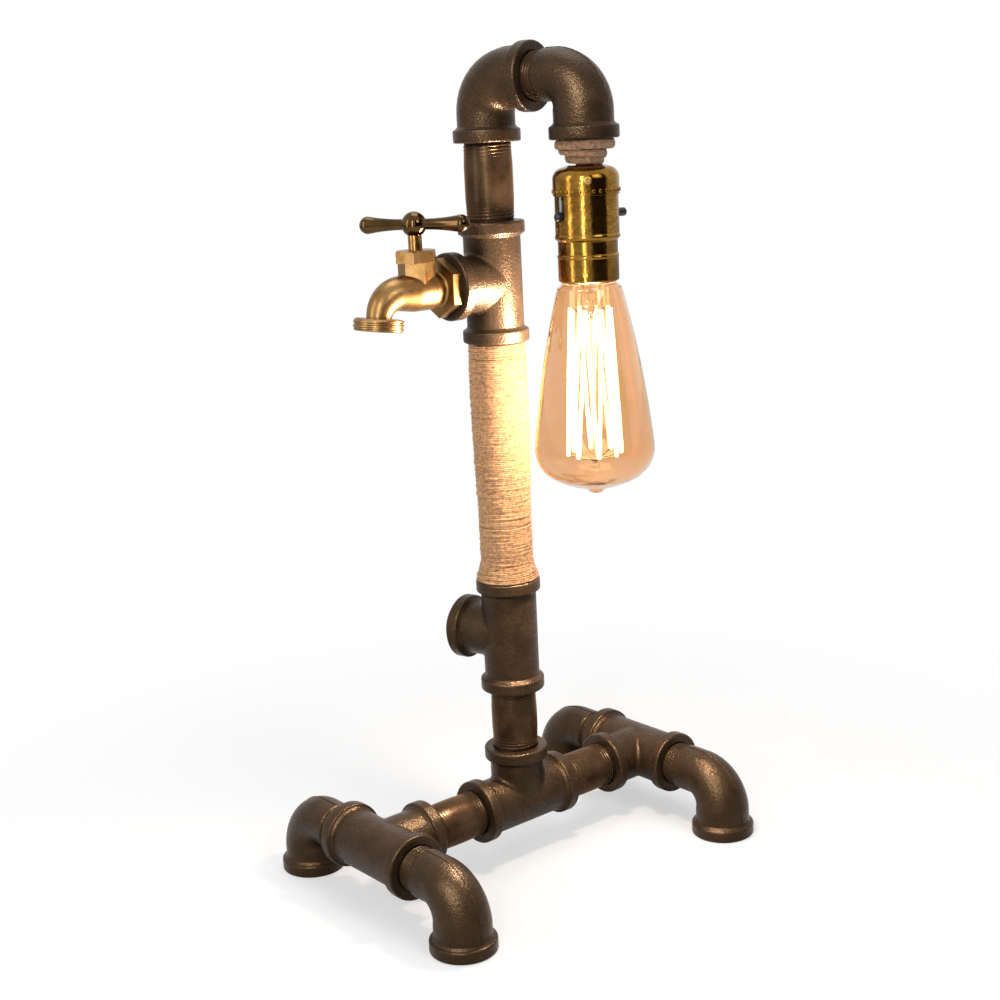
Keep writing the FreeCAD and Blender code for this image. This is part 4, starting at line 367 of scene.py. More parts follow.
def wind_thread(name, start, along, length, core, crest, pitch, material, flush=False):
    """Thread that starts at a point and runs along a direction, all sizes in millimetres. Flush ends are cut flat."""
    bpy.ops.object.select_all(action="DESELECT")
    bpy.ops.mesh.primitive_plane_add(size=1)
    thread = bpy.context.object
    edit_all()
    bpy.ops.transform.rotate(value=math.pi / 2, orient_axis="X", center_override=(0, 0, 0))
    bpy.ops.transform.resize(value=((crest - core) * MM, 1, pitch * MM), center_override=(0, 0, 0))
    bpy.ops.transform.translate(value=((core + crest) / 2 * MM, 0, (pitch / 2 - pitch * flush) * MM))
    bpy.ops.mesh.select_all(action="DESELECT")
    bpy.ops.object.mode_set(mode="OBJECT")
    for vertex in thread.data.vertices:
        vertex.select = vertex.co.x > (core + crest) / 2 * MM
    bpy.ops.object.mode_set(mode="EDIT")
    bpy.ops.transform.resize(value=(1, 1, CREST_SHARE))
    bpy.ops.mesh.select_all(action="SELECT")
    bpy.ops.mesh.delete(type="ONLY_FACE")
    bpy.ops.object.mode_set(mode="OBJECT")
    winding = thread.modifiers.new("winding", "SCREW")
    winding.axis = "Z"
    winding.steps = winding.render_steps = THREAD_STEPS
    winding.iterations = max(1, round(length / pitch) - 1 + 2 * flush)
    winding.screw_offset = pitch * MM
    winding.use_normal_calculate = True
    pick(thread)
    bpy.ops.object.modifier_apply(modifier=winding.name)
    edit_all()
    bpy.ops.mesh.fill_holes(sides=8)
    if flush:
        for height, way in ((0, -1), (length, 1)):
            bpy.ops.mesh.select_all(action="SELECT")
            bpy.ops.mesh.bisect(plane_co=(0, 0, height * MM), plane_no=(0, 0, way), use_fill=True, clear_outer=True)
        bpy.ops.mesh.select_all(action="SELECT")
    bpy.ops.mesh.normals_make_consistent(inside=False)
    bpy.ops.object.mode_set(mode="OBJECT")
    bpy.ops.object.shade_smooth_by_angle(angle=SMOOTH)
    settle(thread, start, along)
    finish_piece(thread, name, "stand", material)
    return thread


# %% [markdown]
# A nipple is a short pipe with a thread at both ends. It is a tube cut across where each cone starts and ends, then
# narrowed there ring by ring, and Solidify gives it its wall. It takes the place of the straight CAD nipple.

# %% Cone nipples with their threads
PIPE, PIPE_WALL, ENGAGED = 13.35, 1.8, 13.3
OPEN_THREAD, SUNK = 12.0, 0.3
MOUTH_RADIUS, HIDDEN_RADIUS = 12.7, 12.25
NIPPLE_CORE, NIPPLE_CREST = 12.6, 13.12


def cone_nipple(name, node, middle, along, gap):
    """Pipe between two beads that narrows towards both, with its two threads. It replaces a CAD nipple."""
    bpy.ops.object.select_all(action="DESELECT")
    bpy.ops.mesh.primitive_cylinder_add(vertices=72, radius=PIPE * MM, depth=(gap + 2 * ENGAGED) * MM,
                                        end_fill_type="NOTHING")
    pipe = bpy.context.object
    bpy.ops.object.mode_set(mode="EDIT")
    for height in (gap / 2 - OPEN_THREAD, gap / 2, gap / 2 + 1.2):
        for way in (-1, 1):
            bpy.ops.mesh.select_all(action="SELECT")
            bpy.ops.mesh.bisect(plane_co=(0, 0, way * height * MM), plane_no=(0, 0, 1))
    for limit, share in ((gap / 2 - 0.2, MOUTH_RADIUS / PIPE), (gap / 2 + 1.0, HIDDEN_RADIUS / MOUTH_RADIUS)):
        bpy.ops.mesh.select_all(action="DESELECT")
        bpy.ops.object.mode_set(mode="OBJECT")
        for vertex in pipe.data.vertices:
            vertex.select = abs(vertex.co.z) > limit * MM
        bpy.ops.object.mode_set(mode="EDIT")
        bpy.ops.transform.resize(value=(share, share, 1), center_override=(0, 0, 0))
    bpy.ops.object.mode_set(mode="OBJECT")
    wall = pipe.modifiers.new("wall", "SOLIDIFY")
    wall.thickness = PIPE_WALL * MM
    wall.offset = -1
    bpy.ops.object.modifier_apply(modifier=wall.name)
    bpy.ops.object.shade_smooth_by_angle(angle=SMOOTH)
    settle(pipe, middle, along)
    finish_piece(pipe, name, "stand", steel_pipe)
    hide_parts(node)
    for end, way in (("low", 1), ("high", -1)):
        inward = Vector(along) * way
        wind_thread(f"{name}_thread_{end}", Vector(middle) - inward * (gap / 2 + SUNK), inward, OPEN_THREAD,
                    NIPPLE_CORE, NIPPLE_CREST, PIPE_PITCH, steel_pipe)


for end, sign in (("left", -1), ("right", 1)):
    cone_nipple(f"base_pipe_{end}", f"base_nipple_{end}", (sign * (REACH + BASE_GAP / 2), 0, REACH), (1, 0, 0),
                BASE_GAP)
cone_nipple("lower_pipe", "lower_nipple", (0, 0, 2 * REACH + LOWER_GAP / 2), (0, 0, 1), LOWER_GAP)
cone_nipple("upper_pipe", "upper_nipple", (0, 0, UPPER_TEE_Z + REACH + UPPER_GAP / 2), (0, 0, 1), UPPER_GAP)

# %% Threads on the street elbows' legs
LEG_CORE, LEG_CREST = 12.2, 12.9
ARM_THREAD = 7.2
LEG_OVERLAP = 1.2  # the thread starts this far inside the leg's body
for foot, sign, way in FEET:
    wind_thread(f"foot_thread_{foot}", (sign * FOOT_X, way * (REACH - SUNK), REACH), (0, way, 0),
                FOOT_LEG - REACH + LEG_OVERLAP, LEG_CORE, LEG_CREST, PIPE_PITCH, cast_iron)
wind_thread("arm_thread", ARM_WAY * (REACH - SUNK) + Vector((0, 0, ELBOW_Z)), ARM_WAY, ARM_THREAD, LEG_CORE, LEG_CREST,
            PIPE_PITCH, steel_pipe)

# %% [markdown]
# Three castings differ a little from their CAD nodes. A node's own mesh is left alone: a copy of it is merged, then
# reshaped and put in its place. The arm's elbow ends its plain leg earlier, so that thread shows beside the bead. The
# faucet's neck is a hexagon with its corners turned to the side, and so is the bonnet nut on it.

# %% Reshaped copies
def merged_copy(node):
    """A copy of a CAD node with its loose triangles merged."""
    copy = bpy.data.objects.new(node + "_copy", frame["nodes"][node].data.copy())
    bpy.context.scene.collection.objects.link(copy)
    copy.matrix_world = frame["nodes"][node].matrix_world.copy()
    pick(copy)
    bpy.ops.object.transform_apply(location=True, rotation=True, scale=True)
    bpy.ops.mesh.customdata_custom_splitnormals_clear()
    edit_all()
    bpy.ops.mesh.remove_doubles(threshold=0.002 * MM)
    bpy.ops.mesh.select_all(action="DESELECT")
    bpy.ops.object.mode_set(mode="OBJECT")
    return copy


def put_back(copy, name, node, material):
    pick(copy)
    bpy.ops.object.shade_smooth_by_angle(angle=math.radians(28))
    finish_piece(copy, name, "stand", material)
    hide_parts(node)


LEG_END_FROM, LEG_END_TO, LEG_CUT = 28.0, 30.0, 6.1
arm_elbow = merged_copy("arm_street_elbow")
arm_corner = Vector((LAMP_X, LAMP_Y, ELBOW_Z)) * MM
for vertex in arm_elbow.data.vertices:
    vertex.select = LEG_END_FROM * MM < (arm_corner - vertex.co).dot(ARM_WAY) < LEG_END_TO * MM
bpy.ops.object.mode_set(mode="EDIT")
bpy.ops.transform.translate(value=ARM_WAY * LEG_CUT * MM)
bpy.ops.object.mode_set(mode="OBJECT")
put_back(arm_elbow, "arm_elbow", "arm_street_elbow", cast_iron)

STEM_X, BONNET_TURN = -52.8, math.radians(48)
bonnet = merged_copy("bonnet_nut")
stem_axis = Matrix.Translation((STEM_X * MM, 0, 0))
bonnet.matrix_world = stem_axis @ Matrix.Rotation(BONNET_TURN, 4, "Z") @ stem_axis.inverted()
bpy.ops.object.transform_apply(location=True, rotation=True, scale=True)
put_back(bonnet, "bonnet_hexagon", "bonnet_nut", faucet_brass)

# %% [markdown]
# The neck is a round post that meets the bulged body in a saddle. The copy is cut through the hexagon's three pairs of
# corners, and each vertex of the post is moved out or in to the hexagon. Where it meets the body it also slides up or
# down, so that it stays on the body's round.

# %% The faucet's neck
NECK, NECK_FLAT, NECK_TURN, NECK_TOP = 9.8, 8.7, 16, 15.4
faucet = merged_copy("faucet_body")
bpy.ops.object.mode_set(mode="EDIT")
for corner in range(3):
    across = math.radians(NECK_TURN + 60 * corner + 90)
    bpy.ops.mesh.select_all(action="SELECT")
    bpy.ops.mesh.bisect(plane_co=(STEM_X * MM, 0, 0), plane_no=(math.cos(across), math.sin(across), 0))
bpy.ops.mesh.select_all(action="DESELECT")
bpy.ops.object.mode_set(mode="OBJECT")
moved = 0
for vertex in faucet.data.vertices:
    x, y, z = vertex.co.x / MM - STEM_X, vertex.co.y / MM, vertex.co.z / MM - UPPER_TEE_Z
    if z > 1 and abs(math.hypot(x, y) - NECK) < 0.06:
        angle = math.atan2(y, x)
        aside = (angle - math.radians(NECK_TURN)) % math.radians(60) - math.radians(30)
        reach = NECK_FLAT / math.cos(aside)
        saddle = math.hypot(y, z)
        x, y = reach * math.cos(angle), reach * math.sin(angle)
        z = z if z > NECK_TOP - 0.1 else math.sqrt(max(saddle ** 2 - y ** 2, 1))
        vertex.co = Vector((x + STEM_X, y, z + UPPER_TEE_Z)) * MM
        moved += 1
print("vertices of the neck", moved)
put_back(faucet, "faucet_casting", "faucet_body", faucet_brass)

# %% [markdown]
# The faucet's mouth has a coarse hose thread. The CAD collar is as wide as the grooves' middle, so the ridges are
# laid on it a third of a millimetre proud. Their ends are cut flat, as the lathe leaves them at the rim.

# %% Hose thread
SPOUT_START, SPOUT_BEND, SPOUT_TURN = 66.0, 13.6, math.radians(82)
SPOUT_END = Vector((-SPOUT_START - SPOUT_BEND * math.sin(SPOUT_TURN), 0.0,
                    UPPER_TEE_Z - SPOUT_BEND * (1 - math.cos(SPOUT_TURN))))
SPOUT_AXIS = Vector((-math.cos(SPOUT_TURN), 0.0, -math.sin(SPOUT_TURN)))
HOSE_START, HOSE_LENGTH, HOSE_PITCH = 0.5, 5.6, 2.3
HOSE_CORE, HOSE_CREST = 12.4, 13.4
wind_thread("hose_thread", SPOUT_END + SPOUT_AXIS * HOSE_START, SPOUT_AXIS, HOSE_LENGTH, HOSE_CORE, HOSE_CREST,
            HOSE_PITCH, faucet_brass, flush=True)

# %% [markdown]
# ## Parting lines
# A sand mould is made in two halves, and the iron that seeps between them leaves a thin line along the casting's
# middle plane. On an elbow it runs down one leg, round the outside of the bend and along the other leg. A curve
# follows that path just under the skin, and its thin round section shows as a fine rib.

# %% Ribs along the elbows
BEND = 18.0
BODY, LEG_BODY = 15.9, 13.7
RIB, BEND_STEPS = 0.42, 12
LINE_END, ARM_LINE_END, FOOT_LINE_END = 25.4, 22.5, 28.6


def parting_line(name, corner, down, out, bodies, ends):
    """Rib on the outside of a bend between two legs, sizes in millimetres from the corner of their axes."""
    corner, down, out = Vector(corner), Vector(down), Vector(out)
    middle = corner + (down + out) * BEND
    path = [corner + down * ends[0] - out * bodies[0]]
    for step in range(BEND_STEPS + 1):
        share = step / BEND_STEPS
        angle = math.pi / 2 * share
        radius = BEND + bodies[0] + (bodies[1] - bodies[0]) * share
        path.append(middle - out * radius * math.cos(angle) - down * radius * math.sin(angle))
    path.append(corner + out * ends[1] - down * bodies[1])
    bpy.ops.object.select_all(action="DESELECT")
    bpy.ops.curve.primitive_nurbs_path_add()
    rib = bpy.context.object
    rib.data.splines.clear()
    spline = rib.data.splines.new("POLY")
    spline.points.add(len(path) - 1)
    for point, place in zip(spline.points, path):
        point.co = (*(place * MM), 1)
    rib.data.bevel_depth = RIB * MM
    rib.data.bevel_resolution = 2
    rib.data.use_fill_caps = True
    pick(rib)
    bpy.ops.object.convert(target="MESH")
    rib = bpy.context.object
    bpy.ops.object.shade_smooth()
    settle(rib, (0, 0, 0), (0, 0, 1))
    finish_piece(rib, name, "stand", cast_iron)


DOWN = (0, 0, -1)
parting_line("top_elbow_line", (0, 0, ELBOW_Z), DOWN, ARM_WAY, (BODY, BODY), (LINE_END, LINE_END))
parting_line("arm_elbow_line", (LAMP_X, LAMP_Y, ELBOW_Z), DOWN, -ARM_WAY, (BODY, LEG_BODY),
             (LINE_END, ARM_LINE_END))
for foot, sign, way in FEET:
    parting_line(f"foot_line_{foot}", (sign * FOOT_X, way * FOOT_Y, REACH), DOWN, (0, -way, 0),
                 (BODY, LEG_BODY), (LINE_END, FOOT_LINE_END))

# %% [markdown]
# ## The wound jute
# The column is wrapped in one long twine, laid turn against turn, flared out where it runs onto the lower tee. It
# could be a sleeve with bumps in its material, but the outline would stay smooth and the grooves would not shade.
# So a curve follows the real path: it climbs one strand's width each turn along the wrap's profile. The strand is
# handmade stuff, so its thickness and its distance from the pipe wander a little, by a seeded random walk.

# %% Wind a twine over a profile
def along_profile(corners, step):
    """Points at equal steps along a line of (radius, height) corners."""
    points = []
    spare = 0.0
    for (r0, z0), (r1, z1) in zip(corners, corners[1:]):
        length = math.hypot(r1 - r0, z1 - z0)
        travelled = spare
        while travelled < length:
            share = travelled / length
            points.append((r0 + (r1 - r0) * share, z0 + (z1 - z0) * share))
            travelled += step
        spare = travelled - length
    return points


def section_curve(wide, high, sides):
    """The closed outline of a strand, as a flat curve to sweep: wide across the surface's normal, high along it."""
    bpy.ops.object.select_all(action="DESELECT")
    bpy.ops.curve.primitive_nurbs_circle_add(radius=1)
    section = bpy.context.object
    section.data.splines.clear()
    spline = section.data.splines.new("POLY")
    spline.points.add(sides - 1)
    for number, point in enumerate(spline.points):
        angle = 2 * math.pi * number / sides
        point.co = (wide / 2 * MM * math.cos(angle), high / 2 * MM * math.sin(angle), 0, 1)
    spline.use_cyclic_u = True
    section.data.dimensions = "2D"
    return section


def sweep_strand(name, node, centre, path, section, colours, girth, fuzz, swell=None):
    """Sweep a section along a path of points in millimetres round a centre. The piece replaces a CAD sleeve."""
    bpy.ops.object.select_all(action="DESELECT")
    bpy.ops.curve.primitive_nurbs_path_add()
    strand = bpy.context.object
    strand.data.splines.clear()
    spline = strand.data.splines.new("POLY")
    spline.points.add(len(path) - 1)
    for number, (point, place) in enumerate(zip(spline.points, path)):
        point.co = (*(place * MM), 1)
        point.radius = swell[number] if swell else 1.0
    strand.data.twist_mode = "Z_UP"
    strand.data.use_fill_caps = True
    strand.data.bevel_mode = "OBJECT"
    strand.data.bevel_object = section
    pick(strand)
    bpy.ops.object.convert(target="MESH")
    strand = bpy.context.object
    bpy.data.objects.remove(section)
    edit_all()
    bpy.ops.mesh.normals_make_consistent(inside=False)
    bpy.ops.object.mode_set(mode="OBJECT")
    bpy.ops.object.shade_smooth()
    settle(strand, centre, (0, 0, 1))
    length = sum((second - first).length for first, second in zip(path, path[1:]))
    finish = twine_finish(f"{name}_jute", *colours, length, girth, fuzz)
    finish_piece(strand, name, "stand", finish)
    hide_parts(node)
    print(name, "twine length in metres", round(length * MM, 2))


# %% Wrap the column
WRAP_FOOT = LOWER_TEE_Z + REACH
TWINE, TWINE_LAY = 1.25, 0.86  # a strand's thickness, and the share of it that each turn climbs
TWINE_STEPS = 48
wrap_profile = [(18.35, 0.3), (18.3, 1.6), (17.5, 3.4), (16.5, 5.6), (15.75, 8.0), (15.3, 10.6), (15.2, 13.0),
                (15.1, 41.2), (15.8, 61.2), (16.25, 81.2), (16.45, 101.2), (16.4, 121.2), (15.9, 136.8)]
rng = random.Random(7)
wrap_path, wrap_swell = [], []
walk = lift = 0.0
for number, (radius, height) in enumerate(along_profile(wrap_profile, TWINE * TWINE_LAY / TWINE_STEPS)):
    walk = walk * 0.9 + rng.uniform(-0.1, 0.1)
    lift = lift * 0.97 + rng.uniform(-0.03, 0.03)
    angle = 2 * math.pi * number / TWINE_STEPS
    reach = radius - TWINE / 2 + walk
    wrap_path.append(Vector((reach * math.cos(angle), reach * math.sin(angle), height + lift)))
    wrap_swell.append(1.0 + 0.6 * walk)
sweep_strand("column_twine", "rope_wrap", (0, 0, WRAP_FOOT), wrap_path, section_curve(TWINE, TWINE, 8),
             JUTE_SHADES, math.pi * TWINE, 0.9, wrap_swell)
print("turns on the column", round(len(wrap_path) / TWINE_STEPS))

# %% [markdown]
# A flat band of the same stuff hides the bushing between the arm and the lampholder. It goes round three times and
# climbs down onto the cap: full width first, then tighter and lower with each turn. Its start lies at the back.

# %% The collar's band
BAND_THICK, BAND_HIGH = 3.0, 5.0
BAND_STEPS = 64
BAND_START = math.radians(50.5)
band_stations = [(0.0, 2.6, 15.9), (0.8, 2.6, 15.9), (1.25, 5.2, 13.6), (1.75, 7.6, 11.7), (2.25, 9.6, 10.5),
                 (2.75, 10.5, 9.9), (3.1, 10.6, 9.6)]
band_path, band_swell = [], []
walk = 0.0
for (turn0, depth0, radius0), (turn1, depth1, radius1) in zip(band_stations, band_stations[1:]):
    steps = round((turn1 - turn0) * BAND_STEPS)
    for step in range(steps):
        share = step / steps
        angle = BAND_START + 2 * math.pi * (turn0 + (turn1 - turn0) * share)
        walk = walk * 0.85 + rng.uniform(-0.12, 0.12)
        reach = radius0 + (radius1 - radius0) * share - BAND_THICK / 2 + walk
        band_path.append(Vector((reach * math.cos(angle), reach * math.sin(angle),
                                 -depth0 - (depth1 - depth0) * share)))
        band_swell.append(1.0 + 0.35 * walk)
sweep_strand("collar_twine", "twine_collar", (LAMP_X, LAMP_Y, ARM_FACE), band_path,
             section_curve(BAND_THICK, BAND_HIGH, 16), ("#54341b", "#b0825a"), 2 * (BAND_THICK + BAND_HIGH), 1.6,
             band_swell)

# %% [markdown]
# ## Crimps on the lampholder
# The cap grips the shell by a row of small dents, pressed from outside all round its lower edge. One dent is a
# rounded block that stands a little proud, and the others are copies turned about the lamp's axis.

# %% Crimps round the cap's edge
CAP_RADIUS, CAP_EDGE, CRIMPS = 17.6, 28.5, 30
CRIMP_DEEP, CRIMP_WIDE, CRIMP_HIGH, CRIMP_ROUND, CRIMP_RISE = 1.1, 1.7, 2.1, 0.45, 2.2
bpy.ops.object.select_all(action="DESELECT")
bpy.ops.mesh.primitive_cube_add(size=1, location=(CAP_RADIUS * MM, 0, (ARM_FACE - CAP_EDGE + CRIMP_RISE) * MM))
crimps = bpy.context.object
edit_all()
bpy.ops.transform.resize(value=(CRIMP_DEEP * MM, CRIMP_WIDE * MM, CRIMP_HIGH * MM))
bpy.ops.mesh.bevel(offset=CRIMP_ROUND * MM, segments=3, affect="EDGES")
bpy.ops.object.mode_set(mode="OBJECT")
bpy.ops.object.shade_smooth()
bpy.ops.object.transform_apply(location=True, rotation=True, scale=True)
single = crimps.data.copy()
copies = []
for number in range(1, CRIMPS):
    copy = bpy.data.objects.new("crimp", single.copy())
    bpy.context.scene.collection.objects.link(copy)
    copy.rotation_euler = (0, 0, 2 * math.pi * number / CRIMPS)
    copies.append(copy)
pick(crimps)
for copy in copies:
    copy.select_set(True)
bpy.ops.object.join()
crimps = bpy.context.object
settle(crimps, (LAMP_X, LAMP_Y, 0), (0, 0, 1))
finish_piece(crimps, "cap_crimps", "stand", holder_brass)

# %% [markdown]
# ## The tip of the bulb
# The glass is closed at the bottom by melting off a tube, which leaves a rounded drop. One is laid over the CAD tip.

# %% Glass drop
GLASS_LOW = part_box("bulb_glass")[0][2]
TIP_HEIGHT, DROP_RADIUS, DROP_HALF, DROP_CUT = 2.2, 5.0, 3.1, 0.3
bpy.ops.object.select_all(action="DESELECT")
bpy.ops.mesh.primitive_uv_sphere_add(segments=48, ring_count=24, radius=1)
drop = bpy.context.object
edit_all()
bpy.ops.transform.resize(value=(DROP_RADIUS * MM, DROP_RADIUS * MM, DROP_HALF * MM), center_override=(0, 0, 0))
bpy.ops.mesh.bisect(plane_co=(0, 0, DROP_CUT * MM), plane_no=(0, 0, 1), use_fill=True, clear_outer=True)
bpy.ops.object.mode_set(mode="OBJECT")
bpy.ops.object.shade_smooth_by_angle(angle=math.radians(40))
settle(drop, (LAMP_X, LAMP_Y, GLASS_LOW / MM + TIP_HEIGHT), (0, 0, 1))
finish_piece(drop, "glass_drop", "bulb", bulb_glass)

# %% [markdown]
# ## The squirrel cage
# Eight long loops hang between two circles of hooks. When it glows, a filament looks several times as thick as its
# wire, because the light spreads in the eye and in the glass. So each loop is a curve with a round section that is
# as thick as the glow, and the loops are joined into one piece that stands for the thin wire.

# %% Filament loops
CAGE_TOP, CAGE_BOTTOM = 88.0, 167.5
CAGE_TOP_RADIUS, CAGE_BOTTOM_RADIUS = 11.0, 14.6
CAGE_YAW, LOOPS = 10.0, 8
GLOW_RADIUS, LOOP_OPEN = 1.0, 0.97


def filament_point(degrees, radius, depth):
    """Point in the bulb. Depth is measured in millimetres below the arm's face."""
    angle = math.radians(degrees)
    return Vector((LAMP_X + radius * math.cos(angle), LAMP_Y + radius * math.sin(angle), ARM_FACE - depth)) * MM


bpy.ops.object.select_all(action="DESELECT")
bpy.ops.curve.primitive_nurbs_path_add()
filament = bpy.context.object
filament.data.splines.clear()
half_loop = 180 / LOOPS
stations = [(-1.0, 0.0), (-0.76, 0.24), (-0.5, 0.5), (-0.26, 0.76), (-0.08, 0.97), (0.0, 1.0),
            (0.08, 0.97), (0.26, 0.76), (0.5, 0.5), (0.76, 0.24), (1.0, 0.0)]
for number in range(LOOPS):
    middle = CAGE_YAW + number * 2 * half_loop
    spline = filament.data.splines.new("NURBS")
    spline.points.add(len(stations) - 1)
    for point, (aside, down) in zip(spline.points, stations):
        radius = CAGE_TOP_RADIUS + (CAGE_BOTTOM_RADIUS - CAGE_TOP_RADIUS) * down
        depth = CAGE_TOP + (CAGE_BOTTOM - CAGE_TOP) * down
        point.co = (*filament_point(middle + aside * half_loop * LOOP_OPEN, radius, depth), 1)
    spline.order_u = 3
    spline.use_endpoint_u = True
    spline.resolution_u = 4
filament.data.bevel_depth = GLOW_RADIUS * MM
filament.data.bevel_resolution = 2
filament.data.use_fill_caps = True
pick(filament)
bpy.ops.object.convert(target="MESH")
filament = bpy.context.object
bpy.ops.object.shade_smooth()
settle(filament, (0, 0, 0), (0, 0, 1))
finish_piece(filament, "filament_loops", "bulb", glow)
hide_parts("bulb_filament")

# %% [markdown]
# ## Floor, surround and lamps
# The lamp stands on plain white paper under soft light. The surround is white where the camera, a reflection or a
# refraction looks at it, and dimmer as a source of light, so that colours render as they are written. The floor is
# a wide sheet of paper that fades into the surround before it reaches the horizon, and it keeps the shadow.

# %% Surround
scene = bpy.context.scene
scene.view_settings.view_transform = "Standard"
world = bpy.data.worlds.new("white_surround")
world.use_nodes = True
scene.world = world
surround = world.node_tree.nodes["Background"]
surround.inputs["Color"].default_value = linear("#ffffff")
rays = add_node(world, "ShaderNodeLightPath")
seen = add_node(world, "ShaderNodeMath", {"operation": "MAXIMUM"},
                {0: rays.outputs["Is Camera Ray"], 1: rays.outputs["Is Glossy Ray"]})
seen_through = add_node(world, "ShaderNodeMath", {"operation": "MAXIMUM"},
                        {0: seen.outputs["Value"], 1: rays.outputs["Is Transmission Ray"]})
AMBIENT = 0.42
brightness = add_node(world, "ShaderNodeMapRange", {3: AMBIENT, 4: 1.0}, {"Value": seen_through.outputs["Value"]})
world.node_tree.links.new(brightness.outputs["Result"], surround.inputs["Strength"])
print("surround", AMBIENT)

# %% Floor
bpy.ops.object.select_all(action="DESELECT")
bpy.ops.mesh.primitive_circle_add(vertices=64, radius=6, fill_type="NGON", location=(0, 0, 0))
floor = bpy.context.object
floor.name = "paper_floor"
paper, paper_shader = new_finish("white_paper", Roughness=0.9, Specular_IOR_Level=0.1)
paper_place = add_node(paper, "ShaderNodeTexCoord")
paper_grain = add_node(paper, "ShaderNodeTexNoise", {"Scale": per_mm(4), "Detail": 2.0},
                       {"Vector": paper_place.outputs["Object"]})
paper_colour = add_node(paper, "ShaderNodeValToRGB", {"stops": [(0.0, "#f8f8f8"), (1.0, "#ffffff")]},
                        {"Fac": paper_grain.outputs["Fac"]})
distance = add_node(paper, "ShaderNodeVectorMath", {"operation": "LENGTH"}, {0: paper_place.outputs["Object"]})
fade = add_node(paper, "ShaderNodeMapRange", {"interpolation_type": "SMOOTHSTEP", 1: 0.1, 2: 0.5, 3: 0.45},
                {"Value": distance.outputs["Value"]})
paper_rays = add_node(paper, "ShaderNodeLightPath")
paper_seen = add_node(paper, "ShaderNodeMath", {"operation": "MAXIMUM"},
                      {0: paper_rays.outputs["Is Camera Ray"], 1: paper_rays.outputs["Is Transmission Ray"]})
white_out = add_node(paper, "ShaderNodeMath", {"operation": "MULTIPLY"},
                     {0: fade.outputs["Result"], 1: paper_seen.outputs["Value"]})
white = add_node(paper, "ShaderNodeEmission", {"Color": linear("#ffffff"), "Strength": 1.0})
blend = add_node(paper, "ShaderNodeMixShader", {},
                 {0: white_out.outputs["Value"], 1: paper_shader.outputs["BSDF"], 2: white.outputs["Emission"]})
link(paper, paper_colour.outputs["Color"], paper_shader.inputs["Base Color"])
link(paper, blend.outputs["Shader"], paper.node_tree.nodes["Material Output"].inputs["Surface"])
floor.data.materials.append(paper)

# %% [markdown]
# Metal is drawn by what it mirrors. An upright pipe mirrors what stands round it at its own height, so two tall
# strip lamps stand on the floor, one beside the camera and one to its left: they give the pipes, the handle and the
# lampholder their narrow upright streaks. A soft panel high on the right picks out the bends. The strips would also
# draw white bars on the bulb, so the glass is taken out of the things that they light. A dark board on the right
# is seen by reflections only. It gives the metals a shaded side, without which polished brass looks like paint.

# %% Lamps
TARGET = Vector((0.0, -0.02, 0.24))
CAMERA_PLACE = Vector((-0.577300, -0.696863, 0.429790))
VIEW_YAW = 0.68922
camera_right = Vector((math.cos(VIEW_YAW), -math.sin(VIEW_YAW), 0.0))
camera_back = Vector((-math.sin(VIEW_YAW), -math.cos(VIEW_YAW), 0.0))


def leave_out(name, parts):
    """A collection for light linking that takes the given parts out and keeps all others."""
    group = bpy.data.collections.new(name)
    for part in parts:
        group.objects.link(part)
    for entry in group.collection_objects:
        entry.light_linking.link_state = "EXCLUDE"
    return group


glass_parts = [frame["nodes"]["bulb_glass"], frame["nodes"]["bulb_stem"], drop]
beside_glass = leave_out("all_but_glass", glass_parts)


def soft_panel(name, side, away, up, wide, high, radiance, skip=None):
    """Area lamp at an angle from the camera, degrees to the right, aimed at the lamp. Radiance 1 looks like paper."""
    angle = math.radians(side)
    place = (camera_right * math.sin(angle) + camera_back * math.cos(angle)) * away + Vector((0, 0, up))
    aim = TARGET if up > 1 - high / 2 else Vector((0, 0, up))
    bpy.ops.object.light_add(type="AREA", location=place)
    panel = bpy.context.object
    panel.name = name
    panel.data.shape = "RECTANGLE"
    panel.data.size, panel.data.size_y = wide, high
    panel.data.energy = radiance * math.pi * wide * high
    panel.rotation_euler = (aim - place).to_track_quat("-Z", "Y").to_euler()
    panel.visible_camera = False
    if skip:
        panel.light_linking.receiver_collection = skip
    print(name, [round(value, 2) for value in place], round(panel.data.energy, 1), "W")


soft_panel("strip_beside_camera", -14, 1.15, 0.55, 0.14, 1.06, 12.0, beside_glass)
soft_panel("strip_on_the_left", -64, 1.1, 0.55, 0.22, 1.06, 5.0, beside_glass)
soft_panel("panel_high_right", 38, 1.2, 1.0, 0.5, 0.5, 6.0)
soft_panel("panel_above", 160, 0.25, 1.4, 0.7, 0.7, 3.0)

# %% Dark board
bpy.ops.object.select_all(action="DESELECT")
bpy.ops.mesh.primitive_plane_add(size=1)
board = bpy.context.object
board.name = "dark_board"
BOARD_SIDE, BOARD_AWAY = math.radians(42), 1.35
board_place = (camera_right * math.sin(BOARD_SIDE) + camera_back * math.cos(BOARD_SIDE)) * BOARD_AWAY
board.scale = (1.5, 1.6, 1.0)
board.location = board_place + Vector((0, 0, 0.8))
board.rotation_euler = (-board_place).to_track_quat("Z", "Y").to_euler()
felt, felt_shader = new_finish("dark_felt", Roughness=1.0, Specular_IOR_Level=0.0)
felt_shader.inputs["Base Color"].default_value = linear("#2a241e")
board.data.materials.append(felt)
board.visible_camera = False
board.visible_diffuse = False
board.visible_transmission = False
board.visible_shadow = False
print("board", [round(value, 2) for value in board.location])

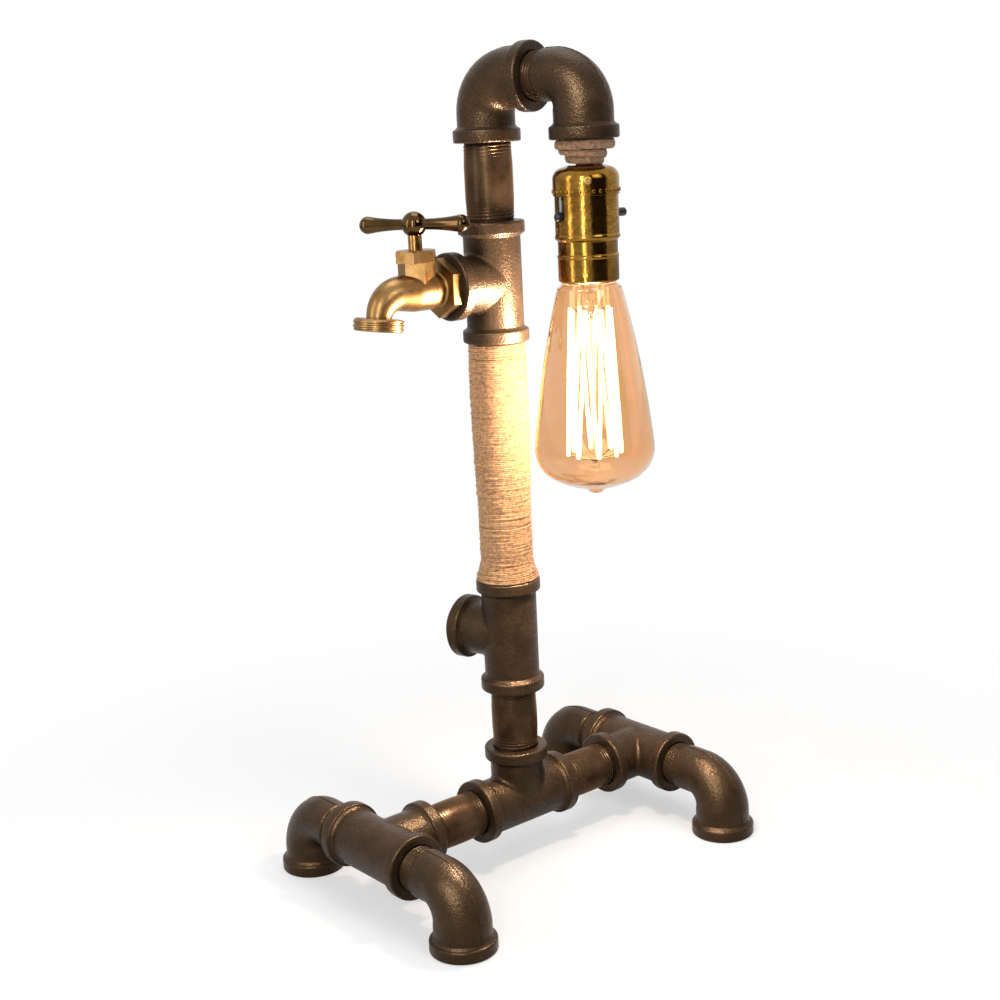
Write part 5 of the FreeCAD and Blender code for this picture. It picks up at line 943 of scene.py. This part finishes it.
# %% [markdown]
# Three small warm lights stand in the cage, one above the other, for the filament. The glass would block them, so
# shadow linking lets them through it. Up close they are far brighter on pale jute and paper than on dark metal,
# more than a picture can hold, so the pale pieces get weaker lights of their own, as a screen would do in a studio.
# Iron gets stronger ones, and a small bright panel whose mirror image breaks up into specks on the grain.

# %% Light of the bulb
clear_parts = leave_out("clear_to_bulb_light", glass_parts + [filament])
pale_pieces = [bpy.data.objects["column_twine"], bpy.data.objects["collar_twine"], floor]
only_pale = bpy.data.collections.new("pale_pieces")
for piece in pale_pieces:
    only_pale.objects.link(piece)
iron_pieces = [piece for piece in bpy.data.objects if piece.type == "MESH" and piece.data.materials
               and piece.data.materials[0] in (cast_iron, steel_pipe)]
only_iron = bpy.data.collections.new("iron_pieces")
for piece in iron_pieces:
    only_iron.objects.link(piece)
all_others = leave_out("other_pieces", pale_pieces + glass_parts + iron_pieces + [filament])
LIGHT_DEPTHS, LIGHT_RADIUS = (108, 132, 156), 14.0
for depth in LIGHT_DEPTHS:
    for name, power, receivers in (("on_iron", 5.0, only_iron), ("on_brass", 1.5, all_others),
                                   ("on_jute", 0.4, only_pale)):
        bpy.ops.object.light_add(type="POINT", location=filament_point(0, 0, depth))
        bulb_light = bpy.context.object
        bulb_light.name = f"bulb_light_{name}_{depth}"
        bulb_light.data.energy = power
        bulb_light.data.color = linear("#ffeedc")[:3]
        bulb_light.data.shadow_soft_size = LIGHT_RADIUS * MM
        bulb_light.visible_camera = False
        bulb_light.visible_transmission = False
        bulb_light.light_linking.receiver_collection = receivers
        bulb_light.light_linking.blocker_collection = clear_parts
soft_panel("panel_for_iron", -22, 1.1, 1.0, 0.35, 0.35, 120.0, only_iron)
print("iron pieces lit by the bulb", len(iron_pieces))

# %% [markdown]
# ## Camera
# The view is three quarters from the front left, slightly from above, with a hint of roll. The focal length is the
# one that gives these proportions from this distance.

# %% Camera
VIEW_PITCH, VIEW_ROLL, FOCAL = 0.23284, 0.04844, 58.603
forward = Vector((math.sin(VIEW_YAW) * math.cos(VIEW_PITCH), math.cos(VIEW_YAW) * math.cos(VIEW_PITCH),
                  -math.sin(VIEW_PITCH)))
level_down = forward.cross(camera_right)
image_right = camera_right * math.cos(VIEW_ROLL) + level_down * math.sin(VIEW_ROLL)
image_down = level_down * math.cos(VIEW_ROLL) - camera_right * math.sin(VIEW_ROLL)
bpy.ops.object.camera_add()
camera = bpy.context.object
camera.name = "view_camera"
camera.data.lens = FOCAL
camera.data.sensor_width = 36
camera.data.clip_end = 20
camera.matrix_world = Matrix((
    (image_right.x, -image_down.x, -forward.x, CAMERA_PLACE.x),
    (image_right.y, -image_down.y, -forward.y, CAMERA_PLACE.y),
    (image_right.z, -image_down.z, -forward.z, CAMERA_PLACE.z),
    (0, 0, 0, 1)))
scene.camera = camera
print("camera", [round(value, 3) for value in camera.location])
